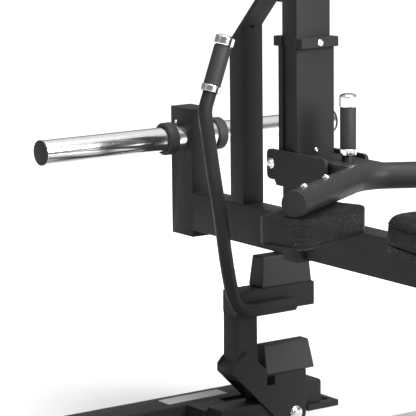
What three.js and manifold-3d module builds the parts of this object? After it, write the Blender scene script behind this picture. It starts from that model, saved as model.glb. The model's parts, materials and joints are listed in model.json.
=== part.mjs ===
// Seated calf raise machine: a weight lever hinged under the seat, a sliding V bar with thigh pads,
// and a swinging catch that holds the lever up. Millimetres, +Z up, the user faces -X.
import * as THREE from 'three';
import { mergeVertices } from 'three/addons/utils/BufferGeometryUtils.js';
import Module from 'manifold-3d';

const wasm = await Module();
wasm.setup();

// Clearances and fineness
const slideGap = 0.3;
const seatGap = 0.3;
const cutOverrun = 5;
const weldLap = 0.5;
const roundSides = 24;
const tubeWall = 3;

// Weight lever: everything along X is measured from the axis of the weight horn
const leverWidth = 50;
const leverHeight = 80;
const weightPostDepth = 76;
const weightPostDrop = 13.5;
const weightPostRise = 62;
const hornRise = 112.5;
const hornRadius = 25;
const hornWall = 4;
const hornLength = 726;
const hornPlugProud = 0.9;
const hornPlugThickness = 5;
const hornPlugSpigotLength = 18;
const flangeLength = 24.2;
const flangeDepth = 4.5;
const ringThickness = 23.5;
const ringDepth = 8.8;
const ringEdgeRadius = 3;

// Gooseneck in front of the upright
const braceFront = 174;
const braceDepth = 44;
const braceDrop = 100.3;
const bracePlateThickness = 8.5;
const bracePlateLip = 3;
const ventHoleRadius = 5.5;
const linkRise = 416.8;
const linkHeight = 50;

// Upright that the carriage slides on
const uprightFront = 371;
const uprightDepth = 47;
const uprightWidth = 82;
const uprightDrop = 5.5;
const uprightRise = 16;

// Lever pivot under the seat
const seatOverhang = 97.5;
const pivotToLeverEnd = 35;
const pivotToSeatPost = 45;
const shaftRadius = 12.5;
const shaftHeadRadius = 19;
const shaftHeadThickness = 6;
const runningGap = 0.1;
const sleeveRadius = 19;
const sleeveProud = 1.7;
const pivotPlateThickness = 8;
const pivotPlateReach = 35;
const pivotPlateHeight = 76;

// Stop under the lever, which rests on the catch
const stopArmHeight = 40;
const stopArmDepth = 46;
const stopFootWidth = 28;
const stopFootHeight = 41.2;

// Carriage
const shellWeb = 6;
const shellCheek = 4;
const frontCheekLength = 7;
const rearCheekLength = 8;
const shellRise = 73.1;
const slideTravel = 50;
const slideSpare = 13.3;
const collarHeight = 19;
const collarProud = 0.5;
const frontCollarDepth = 22.7;
const rearCollarDepth = 21.7;
const collarLap = 3;
const collarCornerRadius = 5;
const bracketThickness = 8;
const bracketFrontReach = 35;
const bracketRearReach = 104;
const bracketDrop = 10;
const bracketHeight = 69.4;
const bracketStepInset = 25;
const bracketStepRun = 6;
const bracketCornerRadius = 12;
const clampBoltInset = 15;
const clampBoltRise = 41.4;
const clampBoltRadius = 6;
const clampWasherRadius = 10.5;
const clampWasherThickness = 2;
const clampHeadRadius = 7;
const clampHeadThickness = 5;
const gussetThickness = 6;
const gussetRise = 23.3;
const neckHeight = 40;
const neckInset = 3.2;

// V bar and thigh pads
const barRadius = 25.3;
const barWall = 3;
const barRise = 38.1;
const barReach = 148.6;
const barArmLength = 323;
const barSweepDegrees = 30;
const barBendRadius = 90;
const barPlugThickness = 5;
const barPlugDepth = 10;
const padLength = 200;
const padDepth = 108;
const padThickness = 58;
const padCornerRadius = 16;
const padCrown = 3;
const padDrawIn = 1.5;
const padEdgeRadius = 4;
const padBack = 115.7;
const padOffset = 204.4;
const padTurnDegrees = 15.9;

// Short grip on the carriage
const gripInset = 41.6;
const gripStubRadius = 12;
const gripStubHeight = 13;
const gripRingDepth = 4.5;
const gripRingHeight = 12;
const gripRubberDepth = 3.5;
const gripRubberHeight = 79;
const gripCapHeight = 27;
const gripDomeHeight = 4;

// Catch: its tubes, and the bolt that it swings on
const catchFront = 144;
const catchTubeSize = 50;
const catchPlateThickness = 6;
const catchPivotOffset = 118;
const catchPivotRise = 19;
const catchBoltRadius = 8;
const catchNutRadius = 12;
const catchBoltHeadRadius = 16;
const catchBoltHeadHeight = 8;
const boltDomeShare = 0.9;
const catchPostRise = 34;
const catchPostHeight = 99;
const crossbarLip = 5;
const upperBumperHeight = 64;
const upperBumperWidth = 128;
const upperBumperInset = 13.5;
const upperBumperLeftTaper = 7;
const upperBumperTaper = 4.5;
const upperBumperSideTaper = 5;
const lowBumperHeight = 59.5;
const lowBumperLength = 125;
const lowBumperLeftTaper = 6.5;
const lowBumperTaper = 3.5;
const lowBumperSideTaper = 17;

// Outline of the swing plates, and the filler block between them
const catchPlateRound = 27.4;
const catchPlateRise = 91;
const catchPlateLip = 13;
const catchPlateFootInset = 25.6;
const catchHoleSize = 20;
const catchHoleRim = 2;
const catchHoleInset = 63;
const plateNotchInset = 2.4;
const plateNotchStep = 13;
const plateLeftRise = 12;
const plateEdgeHeight = 16.5;
const plateShoulderRise = 7;
const platePeakRise = 22;
const platePeakOffset = 5;
const platePostLap = 1.5;
const platePostInset = 3;
const fillerReach = 16;
const fillerEdge = 12;
const fillerSlope = 18;
const fillerDrop = 38;

// Long handle on the catch: rows of shares of its lean, its reach to the left and its rise
const handleRadius = 14;
const handleWall = 2.5;
const handleSides = 16;
const handleSteps = 30;
const handleRubberDepth = 3.5;
const handleRingDepth = 6;
const handleRingLength = 13;
const handleRubberLength = 81.3;
const handleCapLength = 22;
const handleFootDrop = 1.5;
const handleLean = 42;
const handleReach = 138.6;
const handleRise = 469.5;
const handleRightEnd = 107.5;
const handleGripReach = 124.8;
const handleGripDegrees = 20.3;
const handleRouteShares = [
  [0, -0.157, 0],
  [0, 0.022, 0.001],
  [0, 0.168, 0.017],
  [0.005, 0.264, 0.042],
  [0.023, 0.333, 0.081],
  [0.062, 0.376, 0.115],
  [0.222, 0.468, 0.2],
  [0.415, 0.56, 0.294],
  [0.694, 0.688, 0.442],
  [0.945, 0.848, 0.626],
  [1, 0.955, 0.803],
  [1, 0.996, 0.883],
  [1, 1, 0.911],
  [1, 0.985, 0.932],
];

// Fixed parts of the catch on the base
const mountReach = 66;
const mountEndReach = 27;
const mountBoxLeft = 76;
const mountBoxWidth = 30;
const mountBoxRight = 82;
const mountBoxClearance = 8;
const mountNotchDrop = 7;
const mountNotchDepth = 32;
const mountNotchLeft = 4;
const mountNotchRight = 62;

// Base
const beamDepth = 80;
const frontBeamLeft = 326;
const frontBeamRight = 275;
const rearBeamReach = 275;
const beamHeight = 50;
const anchorThickness = 13;
const anchorFrontLip = 8;
const anchorRearLip = 10;
const anchorReach = 42;
const anchorUnderlap = 40;
const anchorHoleRadius = 13;
const anchorHoleInset = 24;
const anchorHoleSetback = 18;
const spineWidth = 76;
const spineHeight = 20;
const rearReach = 135;

// Foot rest
const footTubeDistance = 530;
const footTubeDepth = 50;
const footTubeHeight = 30;
const footWidth = 460;
const footPostHeight = 44;
const footPostWidth = 70;
const treadDepth = 90;
const treadThickness = 6;

// Seat
const kneeGap = 114.4;
const seatClearance = 13.8;
const seatTiltDegrees = 5;
const seatWidth = 350;
const seatDepth = 330;
const seatCushionThickness = 62.7;
const seatCornerRadius = 26;
const seatCrown = 9;
const seatDrawIn = 3;
const seatEdgeRadius = 20;
const seatBoardThickness = 15;
const seatPlateThickness = 6;
const seatPlateFront = 75;
const seatPlateLength = 200;
const seatPlateWidth = 180;
const seatPostDepth = 60;
const seatPostWidth = 80;

// Finishes
const blackCoat = { color: 0x35383a, roughness: 0.5, metalness: 0.4 };
const blackRubber = { color: 0x232425, roughness: 0.8, metalness: 0 };
const blackLeather = { color: 0x1d1e1f, roughness: 0.6, metalness: 0 };
const blackPlastic = { color: 0x2c2d2e, roughness: 0.5, metalness: 0 };
const chrome = { color: 0xd8dadc, roughness: 0.12, metalness: 1 };
const greyPlate = { color: 0x8b8d8f, roughness: 0.6, metalness: 0.3 };

// Helpers: degrees, closed solids, and booleans
const radians = THREE.MathUtils.degToRad;

function toSolid(geometry) {
  const bare = geometry.clone();
  bare.deleteAttribute('normal');
  bare.deleteAttribute('uv');
  const merged = mergeVertices(bare);
  const vertProperties = new Float32Array(merged.attributes.position.array);
  const triVerts = new Uint32Array(merged.index.array);
  return new wasm.Manifold(new wasm.Mesh({ numProp: 3, vertProperties, triVerts }));
}

function toGeometry(solid) {
  const mesh = solid.getMesh();
  const geometry = new THREE.BufferGeometry();
  geometry.setAttribute('position', new THREE.BufferAttribute(new Float32Array(mesh.vertProperties), 3));
  geometry.setIndex(new THREE.BufferAttribute(new Uint32Array(mesh.triVerts), 1));
  geometry.computeVertexNormals();
  return geometry;
}

function cut(geometry, ...tools) {
  const solid = tools.reduce((rest, tool) => rest.subtract(toSolid(tool)), toSolid(geometry));
  return toGeometry(solid);
}

function joinAll(first, ...others) {
  const solid = others.reduce((whole, other) => whole.add(toSolid(other)), toSolid(first));
  return toGeometry(solid);
}

// A block between two corners
function block(low, high) {
  const size = high.map((value, axis) => value - low[axis]);
  const geometry = new THREE.BoxGeometry(...size);
  return geometry.translate(...low.map((value, axis) => value + size[axis] / 2));
}

// An outline of [first, second] points
function outline(points) {
  return new THREE.Shape(points.map(([first, second]) => new THREE.Vector2(first, second)));
}

function rectangle(width, height) {
  const [x, y] = [width / 2, height / 2];
  return outline([[-x, -y], [x, -y], [x, y], [-x, y]]);
}

// An outline whose corners listed in rounded are arcs of the given radius
function roundedOutline(points, radius, rounded) {
  const shape = new THREE.Shape();
  points.forEach((point, index) => {
    const here = new THREE.Vector2(...point);
    if (!rounded.includes(index)) {
      index === 0 ? shape.moveTo(here.x, here.y) : shape.lineTo(here.x, here.y);
      return;
    }
    const before = new THREE.Vector2(...points.at(index - 1));
    const after = new THREE.Vector2(...points[(index + 1) % points.length]);
    const entry = before.sub(here).setLength(radius).add(here);
    const exit = after.sub(here).setLength(radius).add(here);
    index === 0 ? shape.moveTo(entry.x, entry.y) : shape.lineTo(entry.x, entry.y);
    shape.quadraticCurveTo(here.x, here.y, exit.x, exit.y);
  });
  shape.closePath();
  return shape;
}

function extrude(shape, depth, curveSegments = 4) {
  return new THREE.ExtrudeGeometry(shape, { depth, bevelEnabled: false, curveSegments });
}

// An outline in the XZ plane, extruded across the machine between two Y values
function alongY(shape, left, right, curveSegments) {
  return extrude(shape, right - left, curveSegments).rotateX(Math.PI / 2).translate(0, right, 0);
}

// An outline in the YZ plane, extruded along the machine between two X values
function alongX(shape, front, rear, curveSegments) {
  const upright = extrude(shape, rear - front, curveSegments).rotateZ(Math.PI / 2).rotateY(Math.PI / 2);
  return upright.translate(front, 0, 0);
}

// A round bar, with the facets standing outside the named radius where it is a cutter
function bar(radius, length) {
  return new THREE.CylinderGeometry(radius, radius, length, roundSides);
}

function bore(radius, length) {
  const outside = radius / Math.cos(Math.PI / roundSides);
  return new THREE.CylinderGeometry(outside, outside, length, roundSides);
}

// A turned piece from [radius, height] points, its axis along +Y
function turned(points) {
  const closed = points[0][0] === 0 ? points : [...points, points[0]];
  return new THREE.LatheGeometry(closed.map(([r, h]) => new THREE.Vector2(r, h)), roundSides);
}

// A rectangular tube, its length along +Z from zero, open at both ends
function boxTube(width, depth, length) {
  const shape = rectangle(width, depth);
  shape.holes.push(rectangle(width - 2 * tubeWall, depth - 2 * tubeWall));
  return extrude(shape, length);
}

// A padded block, its flat back at z = 0: rings of a rounded rectangle climb the side, turn over
// the edge and run in over a crown, and the sides draw in between the corners
function cushion({ length, depth, thickness, corner, edge, crown, drawIn }) {
  const cornerSteps = 4;
  const sideSteps = 6;
  const edgeSteps = 3;
  const crownSteps = 4;
  const [halfLength, halfDepth] = [length / 2, depth / 2];
  const rim = [];
  const corners = [[1, 1, 0], [-1, 1, 1], [-1, -1, 2], [1, -1, 3]];
  corners.forEach(([sx, sy, quarter], index) => {
    for (let step = 0; step <= cornerSteps; step += 1) {
      const angle = (quarter + step / cornerSteps) * (Math.PI / 2);
      const x = sx * (halfLength - corner) + corner * Math.cos(angle);
      const y = sy * (halfDepth - corner) + corner * Math.sin(angle);
      rim.push([x, y]);
    }
    const next = corners[(index + 1) % corners.length];
    const angle = (quarter + 1) * (Math.PI / 2);
    const from = [sx * (halfLength - corner), sy * (halfDepth - corner)];
    const to = [next[0] * (halfLength - corner), next[1] * (halfDepth - corner)];
    for (let step = 1; step < sideSteps; step += 1) {
      const share = step / sideSteps;
      const pull = corner - drawIn * Math.sin(Math.PI * share);
      const x = from[0] + (to[0] - from[0]) * share + pull * Math.cos(angle);
      const y = from[1] + (to[1] - from[1]) * share + pull * Math.sin(angle);
      rim.push([x, y]);
    }
  });
  const rings = [[0, 0]];
  const shoulder = thickness - crown - edge;
  for (let step = 0; step <= edgeSteps; step += 1) {
    const angle = (step / edgeSteps) * (Math.PI / 2);
    rings.push([edge * (1 - Math.cos(angle)), shoulder + edge * Math.sin(angle)]);
  }
  for (let step = 1; step < crownSteps; step += 1) {
    const share = step / crownSteps;
    const inset = edge + (halfDepth - edge) * share;
    rings.push([inset, thickness - crown + crown * Math.sin(share * (Math.PI / 2))]);
  }
  const positions = [];
  rings.forEach(([inset, z]) => {
    const shareX = (halfLength - inset) / halfLength;
    const shareY = (halfDepth - inset) / halfDepth;
    rim.forEach(([x, y]) => positions.push(x * shareX, y * shareY, z));
  });
  const backCentre = positions.length / 3;
  positions.push(0, 0, 0);
  const topCentre = positions.length / 3;
  positions.push(0, 0, thickness);
  const count = rim.length;
  const faces = [];
  for (let ring = 0; ring < rings.length - 1; ring += 1) {
    for (let index = 0; index < count; index += 1) {
      const here = ring * count + index;
      const next = ring * count + ((index + 1) % count);
      faces.push(here, next, next + count, here, next + count, here + count);
    }
  }
  const lastRing = (rings.length - 1) * count;
  for (let index = 0; index < count; index += 1) {
    const next = (index + 1) % count;
    faces.push(next, index, backCentre);
    faces.push(lastRing + index, lastRing + next, topCentre);
  }
  const geometry = new THREE.BufferGeometry();
  geometry.setAttribute('position', new THREE.BufferAttribute(new Float32Array(positions), 3));
  geometry.setIndex(faces);
  geometry.computeVertexNormals();
  return geometry;
}

const machine = new THREE.Group();

function add(name, geometry, finish, parent = machine) {
  const mesh = new THREE.Mesh(geometry, new THREE.MeshStandardMaterial(finish));
  mesh.name = name;
  parent.add(mesh);
  return mesh;
}

// Heights, from the spine up through the catch to the lever that rests on it
const catchPivotHeight = spineHeight + catchPivotRise;
const catchPlateTopHeight = catchPivotHeight + catchPlateRise;
const catchPostBottomHeight = catchPlateTopHeight + catchPostRise;
const crossbarBottomHeight = catchPostBottomHeight + catchPostHeight;
const crossbarTopHeight = crossbarBottomHeight + catchTubeSize;
const upperBumperTopHeight = crossbarTopHeight + upperBumperHeight;
const leverBottomHeight = upperBumperTopHeight + slideGap + stopFootHeight;
const leverMiddleHeight = leverBottomHeight + leverHeight / 2;
const leverTopHeight = leverBottomHeight + leverHeight;
const hornHeight = leverTopHeight + hornRise;
const weightPostBottomHeight = leverBottomHeight - weightPostDrop;
const weightPostTopHeight = hornHeight + weightPostRise;
const linkBottomHeight = leverTopHeight + linkRise;
const linkTopHeight = linkBottomHeight + linkHeight;
const uprightBottomHeight = leverBottomHeight - uprightDrop;
const uprightTopHeight = linkTopHeight + uprightRise;
const shellBottomHeight = leverTopHeight + shellRise;
const collarBottomHeight = linkBottomHeight - slideTravel - slideSpare - collarHeight;
const bracketBottomHeight = shellBottomHeight - bracketDrop;
const barHeight = bracketBottomHeight + barRise;
const gussetTopHeight = barHeight + gussetRise;
const seatStack = seatCushionThickness + seatBoardThickness + seatPlateThickness;
const seatTopHeight = leverTopHeight + seatClearance + seatStack;

// Distances behind the horn's axis, through the upright, the V bar and the seat to the rear beam
const weightPostRear = weightPostDepth / 2;
const catchRear = catchFront + catchTubeSize;
const catchMiddle = catchFront + catchTubeSize / 2;
const uprightRear = uprightFront + uprightDepth;
const sweepAngle = radians(barSweepDegrees);
const barApexDistance = uprightRear + barReach;
const seatFront = barApexDistance + barArmLength * Math.sin(sweepAngle) + kneeGap;
const pivotDistance = seatFront + seatOverhang;
const leverEnd = pivotDistance + pivotToLeverEnd;
const seatPostDistance = pivotDistance + pivotToSeatPost;
const rearBeamDistance = seatPostDistance + seatPostDepth + rearReach;

// Weight post: a capped tube, open below, that the horn passes through
function weightPost() {
  const outer = block(
    [-weightPostRear, -leverWidth / 2, weightPostBottomHeight],
    [weightPostRear, leverWidth / 2, weightPostTopHeight],
  );
  const inner = block(
    [tubeWall - weightPostRear, tubeWall - leverWidth / 2, weightPostBottomHeight - cutOverrun],
    [weightPostRear - tubeWall, leverWidth / 2 - tubeWall, weightPostTopHeight - tubeWall],
  );
  const hornHole = bore(hornRadius + seatGap, leverWidth + cutOverrun).translate(0, 0, hornHeight);
  return cut(outer, inner, hornHole);
}

add('weight_post', weightPost(), blackCoat);

// Weight horn with its plugs and the two collars that the plates rest against
const horn = new THREE.Group();
horn.position.z = hornHeight;
machine.add(horn);
const hornHalf = hornLength / 2;
const hornInside = hornRadius - hornWall;
const hornPlugRadius = hornRadius + hornPlugProud;
add('horn_tube', turned([
  [hornInside, -hornHalf],
  [hornRadius, -hornHalf],
  [hornRadius, hornHalf],
  [hornInside, hornHalf],
]), chrome, horn);

function hornPlug() {
  const spigot = hornInside - seatGap;
  return turned([
    [0, hornHalf - hornPlugSpigotLength],
    [spigot, hornHalf - hornPlugSpigotLength],
    [spigot, hornHalf + seatGap],
    [hornPlugRadius, hornHalf + seatGap],
    [hornPlugRadius, hornHalf + hornPlugThickness / 2],
    [hornPlugRadius - hornPlugThickness / 2, hornHalf + hornPlugThickness],
    [0, hornHalf + hornPlugThickness],
  ]);
}

// The same turned piece at both ends of a cross axis
function addBothSides(name, make, finish, parent) {
  add(`${name}_left`, make().rotateZ(Math.PI), finish, parent);
  add(`${name}_right`, make(), finish, parent);
}

addBothSides('horn_plug', hornPlug, blackPlastic, horn);

const flangeStart = leverWidth / 2 + seatGap;
const flangeEnd = flangeStart + flangeLength;
const hornBore = (hornRadius + seatGap) / Math.cos(Math.PI / roundSides);
const flangeRadius = hornRadius + flangeDepth;
const ringRadius = hornRadius + ringDepth;

function hornFlange() {
  return turned([
    [hornBore, flangeStart],
    [flangeRadius, flangeStart],
    [flangeRadius, flangeEnd],
    [hornBore, flangeEnd],
  ]);
}

function hornRing() {
  const start = flangeEnd;
  const end = start + ringThickness;
  return turned([
    [hornBore, start],
    [ringRadius - ringEdgeRadius, start],
    [ringRadius, start + ringEdgeRadius],
    [ringRadius, end - ringEdgeRadius],
    [ringRadius - ringEdgeRadius, end],
    [hornBore, end],
  ]);
}

addBothSides('horn_flange', hornFlange, chrome, horn);
addBothSides('horn_ring', hornRing, blackRubber, horn);

// Lever tubes in front of and behind the upright
function leverTube(front, rear) {
  const tube = boxTube(leverHeight, leverWidth, rear - front);
  return tube.rotateY(Math.PI / 2).translate(front, 0, leverMiddleHeight);
}

add('lever_front_tube', leverTube(weightPostRear, uprightFront), blackCoat);
const sleeveHole = bore(sleeveRadius + seatGap, leverWidth + cutOverrun)
  .translate(pivotDistance, 0, leverMiddleHeight);
add('lever_rear_tube', cut(leverTube(uprightRear, leverEnd), sleeveHole), blackCoat);

const sleeveHalf = leverWidth / 2 + sleeveProud;
const shaftBore = (shaftRadius + runningGap) / Math.cos(Math.PI / roundSides);
const pivotSleeve = add('pivot_sleeve', turned([
  [shaftBore, -sleeveHalf],
  [sleeveRadius, -sleeveHalf],
  [sleeveRadius, sleeveHalf],
  [shaftBore, sleeveHalf],
]), blackCoat);
pivotSleeve.position.set(pivotDistance, 0, leverMiddleHeight);

// Gooseneck: a brace tube cut at 45 degrees, the plate on the cut and the link to the upright
const braceRear = braceFront + braceDepth;
const braceFrontTopHeight = linkBottomHeight - braceDrop;
const braceRise = braceFrontTopHeight - braceFront;
const ventHole = bore(ventHoleRadius, 2 * tubeWall + cutOverrun)
  .rotateZ(Math.PI / 2)
  .translate(braceRear, 0, braceRear + braceRise);
const braceTop = alongY(outline([
  [braceFront - cutOverrun, braceFrontTopHeight - cutOverrun],
  [braceRear + cutOverrun, braceRear + braceRise + cutOverrun],
  [braceFront - cutOverrun, braceRear + braceRise + cutOverrun],
]), -leverWidth, leverWidth);
const braceTube = boxTube(braceDepth, leverWidth, braceRear + braceRise - leverTopHeight)
  .translate(braceFront + braceDepth / 2, 0, leverTopHeight);
add('brace_tube', cut(braceTube, braceTop, ventHole), blackCoat);

const linkFrontBottom = linkBottomHeight - braceRise;
const linkFrontTop = linkTopHeight - braceRise;
const plateLipFront = braceFront - bracePlateLip;
const plateLipRear = linkFrontTop + bracePlateLip;
const plateRise = bracePlateThickness * Math.SQRT2;
add('brace_plate', alongY(outline([
  [plateLipFront, plateLipFront + braceRise],
  [plateLipRear, plateLipRear + braceRise],
  [plateLipRear - plateRise / 2, plateLipRear + braceRise + plateRise / 2],
  [plateLipFront - plateRise / 2, plateLipFront + braceRise + plateRise / 2],
]), -leverWidth / 2, leverWidth / 2), blackCoat);

const linkTube = boxTube(linkHeight, leverWidth, uprightFront - linkFrontBottom)
  .rotateY(Math.PI / 2)
  .translate(linkFrontBottom, 0, linkBottomHeight + linkHeight / 2);
const linkBevel = alongY(outline([
  [linkFrontBottom - cutOverrun, linkBottomHeight - cutOverrun],
  [linkFrontTop + cutOverrun, linkTopHeight + cutOverrun],
  [linkFrontBottom - cutOverrun, linkTopHeight + cutOverrun],
]), -leverWidth, leverWidth);
add('top_link', cut(linkTube, linkBevel), blackCoat);

// Upright: a tube closed on top, with the lever tubes and the link butted to its faces
const uprightOuter = block(
  [uprightFront, -uprightWidth / 2, uprightBottomHeight],
  [uprightRear, uprightWidth / 2, uprightTopHeight],
);
const uprightInner = block(
  [uprightFront + tubeWall, tubeWall - uprightWidth / 2, uprightBottomHeight - cutOverrun],
  [uprightRear - tubeWall, uprightWidth / 2 - tubeWall, uprightTopHeight - tubeWall],
);
add('upright_post', cut(uprightOuter, uprightInner), blackCoat);

// Lever stop: an arm on the far side of the lever with a foot that rests on the catch
const stopFront = catchFront + (catchTubeSize - stopArmDepth) / 2;
const stopRear = stopFront + stopArmDepth;
const footRight = catchPivotOffset + stopFootWidth / 4;
const footBottomHeight = leverBottomHeight - stopFootHeight;
const leverStop = alongX(outline([
  [leverWidth / 2, leverBottomHeight],
  [footRight - stopFootWidth, leverBottomHeight],
  [footRight - stopFootWidth, footBottomHeight],
  [footRight, footBottomHeight],
  [footRight, leverBottomHeight + stopArmHeight],
  [leverWidth / 2, leverBottomHeight + stopArmHeight],
]), stopFront, stopRear);
add('lever_stop', leverStop, blackCoat);

// Carriage shells: two channels that clasp the upright and leave its sides open between them
const shellInside = uprightWidth / 2 + slideGap;
const shellOutside = shellInside + shellCheek;
const frontWebRear = uprightFront - slideGap;
const rearWebFront = uprightRear + slideGap;

function channel(webOuter, webInner, cheekEnd) {
  return outline([
    [webOuter, -shellOutside],
    [cheekEnd, -shellOutside],
    [cheekEnd, -shellInside],
    [webInner, -shellInside],
    [webInner, shellInside],
    [cheekEnd, shellInside],
    [cheekEnd, shellOutside],
    [webOuter, shellOutside],
  ]);
}

const shellLength = collarBottomHeight - shellBottomHeight;
add('shell_front', extrude(
  channel(frontWebRear - shellWeb, frontWebRear, uprightFront + frontCheekLength),
  shellLength,
).translate(0, 0, shellBottomHeight), blackCoat);
add('shell_rear', extrude(
  channel(rearWebFront + shellWeb, rearWebFront, uprightRear - rearCheekLength),
  shellLength,
).translate(0, 0, shellBottomHeight), blackCoat);

// Collars on top of the shells
function collar(outer, inner, end) {
  const half = shellOutside + collarProud;
  return roundedOutline([
    [outer, -half],
    [end, -half],
    [end, -shellInside],
    [inner, -shellInside],
    [inner, shellInside],
    [end, shellInside],
    [end, half],
    [outer, half],
  ], collarCornerRadius, [0, 7]);
}

const frontCollarFront = frontWebRear - frontCollarDepth;
const rearCollarRear = rearWebFront + rearCollarDepth;
add('collar_front', extrude(collar(frontCollarFront, frontWebRear, frontWebRear + collarLap), collarHeight)
  .translate(0, 0, collarBottomHeight), blackCoat);
add('collar_rear', extrude(collar(rearCollarRear, rearWebFront, rearWebFront - collarLap), collarHeight)
  .translate(0, 0, collarBottomHeight), blackCoat);

// Bracket plates on both sides of the shells, with the clamp bolt across them
const bracketFront = uprightFront - bracketFrontReach;
const bracketRear = uprightRear + bracketRearReach;
const bracketTopHeight = bracketBottomHeight + bracketHeight;
const bracketStepFront = bracketFront + bracketStepInset;
const bracketShape = roundedOutline([
  [bracketFront, shellBottomHeight],
  [bracketStepFront, shellBottomHeight],
  [bracketStepFront + bracketStepRun, bracketBottomHeight],
  [bracketRear, bracketBottomHeight],
  [bracketRear, bracketTopHeight],
  [bracketFront, bracketTopHeight],
], bracketCornerRadius, [0, 3, 4, 5]);
const bracketOutside = shellOutside + bracketThickness;
const clampBoltDistance = bracketFront + clampBoltInset;
const clampBoltHeight = bracketBottomHeight + clampBoltRise;
const clampHole = bore(clampBoltRadius + seatGap, 2 * bracketOutside + cutOverrun)
  .translate(clampBoltDistance, 0, clampBoltHeight);
add('bracket_plate_left', cut(alongY(bracketShape, -bracketOutside, -shellOutside), clampHole), blackCoat);
add('bracket_plate_right', cut(alongY(bracketShape, shellOutside, bracketOutside), clampHole), blackCoat);

const washerOut = bracketOutside + clampWasherThickness;
const headOut = washerOut + clampHeadThickness;
const clampBolt = add('clamp_bolt', turned([
  [0, -headOut],
  [clampHeadRadius, -headOut],
  [clampHeadRadius, -washerOut],
  [clampWasherRadius, -washerOut],
  [clampWasherRadius, -bracketOutside],
  [clampBoltRadius, -bracketOutside],
  [clampBoltRadius, bracketOutside],
  [clampWasherRadius, bracketOutside],
  [clampWasherRadius, washerOut],
  [clampHeadRadius, washerOut],
  [clampHeadRadius, headOut],
  [0, headOut],
]), chrome);
clampBolt.position.set(clampBoltDistance, 0, clampBoltHeight);

// V bar: one tube bent round an apex, its arms swept back
const armDirection = new THREE.Vector3(Math.sin(sweepAngle), Math.cos(sweepAngle), 0);
const apex = new THREE.Vector3(barApexDistance, 0, barHeight);
const bendTangent = barBendRadius * Math.tan(sweepAngle);

function onArm(side, distance) {
  const along = new THREE.Vector3(armDirection.x, side * armDirection.y, 0);
  return apex.clone().addScaledVector(along, distance);
}

function barPath() {
  const bend = new THREE.EllipseCurve(
    barApexDistance + barBendRadius / Math.cos(sweepAngle),
    0,
    barBendRadius,
    barBendRadius,
    Math.PI + sweepAngle,
    Math.PI - sweepAngle,
    true,
  );
  const bendSteps = 10;
  const armSteps = 3;
  const points = [];
  for (let step = 0; step < armSteps; step += 1) {
    points.push(onArm(-1, barArmLength + (bendTangent - barArmLength) * (step / armSteps)));
  }
  bend.getPoints(bendSteps).forEach((point) => points.push(new THREE.Vector3(point.x, point.y, barHeight)));
  for (let step = 1; step <= armSteps; step += 1) {
    points.push(onArm(1, bendTangent + (barArmLength - bendTangent) * (step / armSteps)));
  }
  return points;
}

// A section carried along points, one ring square to the path at each point, closed at both ends
function sweep(points, radius, wall, sides) {
  let normal = new THREE.Vector3(0, 0, 1);
  const frames = points.map((point, index) => {
    const before = points[Math.max(index - 1, 0)];
    const after = points[Math.min(index + 1, points.length - 1)];
    const tangent = after.clone().sub(before).normalize();
    normal = normal.clone().addScaledVector(tangent, -normal.dot(tangent)).normalize();
    return { point, normal, side: tangent.clone().cross(normal) };
  });
  const positions = [];
  const radii = wall > 0 ? [radius, radius - wall] : [radius];
  radii.forEach((r) => frames.forEach(({ point, normal: up, side }) => {
    for (let index = 0; index < sides; index += 1) {
      const angle = (2 * Math.PI * index) / sides;
      const at = point.clone()
        .addScaledVector(up, r * Math.cos(angle))
        .addScaledVector(side, r * Math.sin(angle));
      positions.push(at.x, at.y, at.z);
    }
  }));
  const faces = [];
  const quad = (a, b, c, d) => faces.push(a, b, c, a, c, d);
  const shellSize = points.length * sides;
  for (let ring = 0; ring < points.length - 1; ring += 1) {
    for (let index = 0; index < sides; index += 1) {
      const next = (index + 1) % sides;
      const [here, there] = [ring * sides, (ring + 1) * sides];
      quad(here + index, here + next, there + next, there + index);
      if (wall > 0) {
        const [inHere, inThere] = [shellSize + here, shellSize + there];
        quad(inHere + next, inHere + index, inThere + index, inThere + next);
      }
    }
  }
  const last = (points.length - 1) * sides;
  for (let index = 0; index < sides; index += 1) {
    const next = (index + 1) % sides;
    if (wall > 0) {
      quad(next, index, shellSize + index, shellSize + next);
      quad(last + index, last + next, shellSize + last + next, shellSize + last + index);
    }
  }
  if (wall === 0) {
    for (let index = 1; index < sides - 1; index += 1) {
      faces.push(0, index + 1, index);
      faces.push(last, last + index, last + index + 1);
    }
  }
  const geometry = new THREE.BufferGeometry();
  geometry.setAttribute('position', new THREE.BufferAttribute(new Float32Array(positions), 3));
  geometry.setIndex(faces);
  geometry.computeVertexNormals();
  return geometry;
}

const barSides = 24;
const barPoints = barPath();
add('v_bar', sweep(barPoints, barRadius, barWall, barSides), blackCoat);

function barPlug(side) {
  const inside = barRadius - barWall - 2 * seatGap;
  const plug = turned([
    [0, -barPlugDepth],
    [inside, -barPlugDepth],
    [inside, seatGap],
    [barRadius, seatGap],
    [barRadius, barPlugThickness / 2],
    [barRadius - barPlugThickness / 2, barPlugThickness],
    [0, barPlugThickness],
  ]);
  const end = onArm(side, barArmLength);
  if (side < 0) {
    plug.rotateX(Math.PI);
  }
  return plug.rotateZ(-side * sweepAngle).translate(end.x, end.y, end.z);
}

add('v_bar_plug_left', barPlug(-1), blackPlastic);
add('v_bar_plug_right', barPlug(1), blackPlastic);

// Neck and gusset plate between the bracket plates, coped to the V bar
const barCutter = sweep(barPoints, (barRadius + seatGap) / Math.cos(Math.PI / barSides), 0, barSides);
const neckFront = rearWebFront + shellWeb;
const gussetBottomHeight = gussetTopHeight - gussetThickness;
const betweenBrackets = shellOutside - seatGap;
const neckHalf = betweenBrackets - neckInset;
const gussetRear = barApexDistance + barRadius;
const gripDistance = barApexDistance - gripInset;

function beforeBar(geometry) {
  const pieces = toSolid(geometry).subtract(toSolid(barCutter)).decompose();
  const nearest = pieces.sort((a, b) => a.boundingBox().min[0] - b.boundingBox().min[0])[0];
  return toGeometry(nearest);
}

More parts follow.
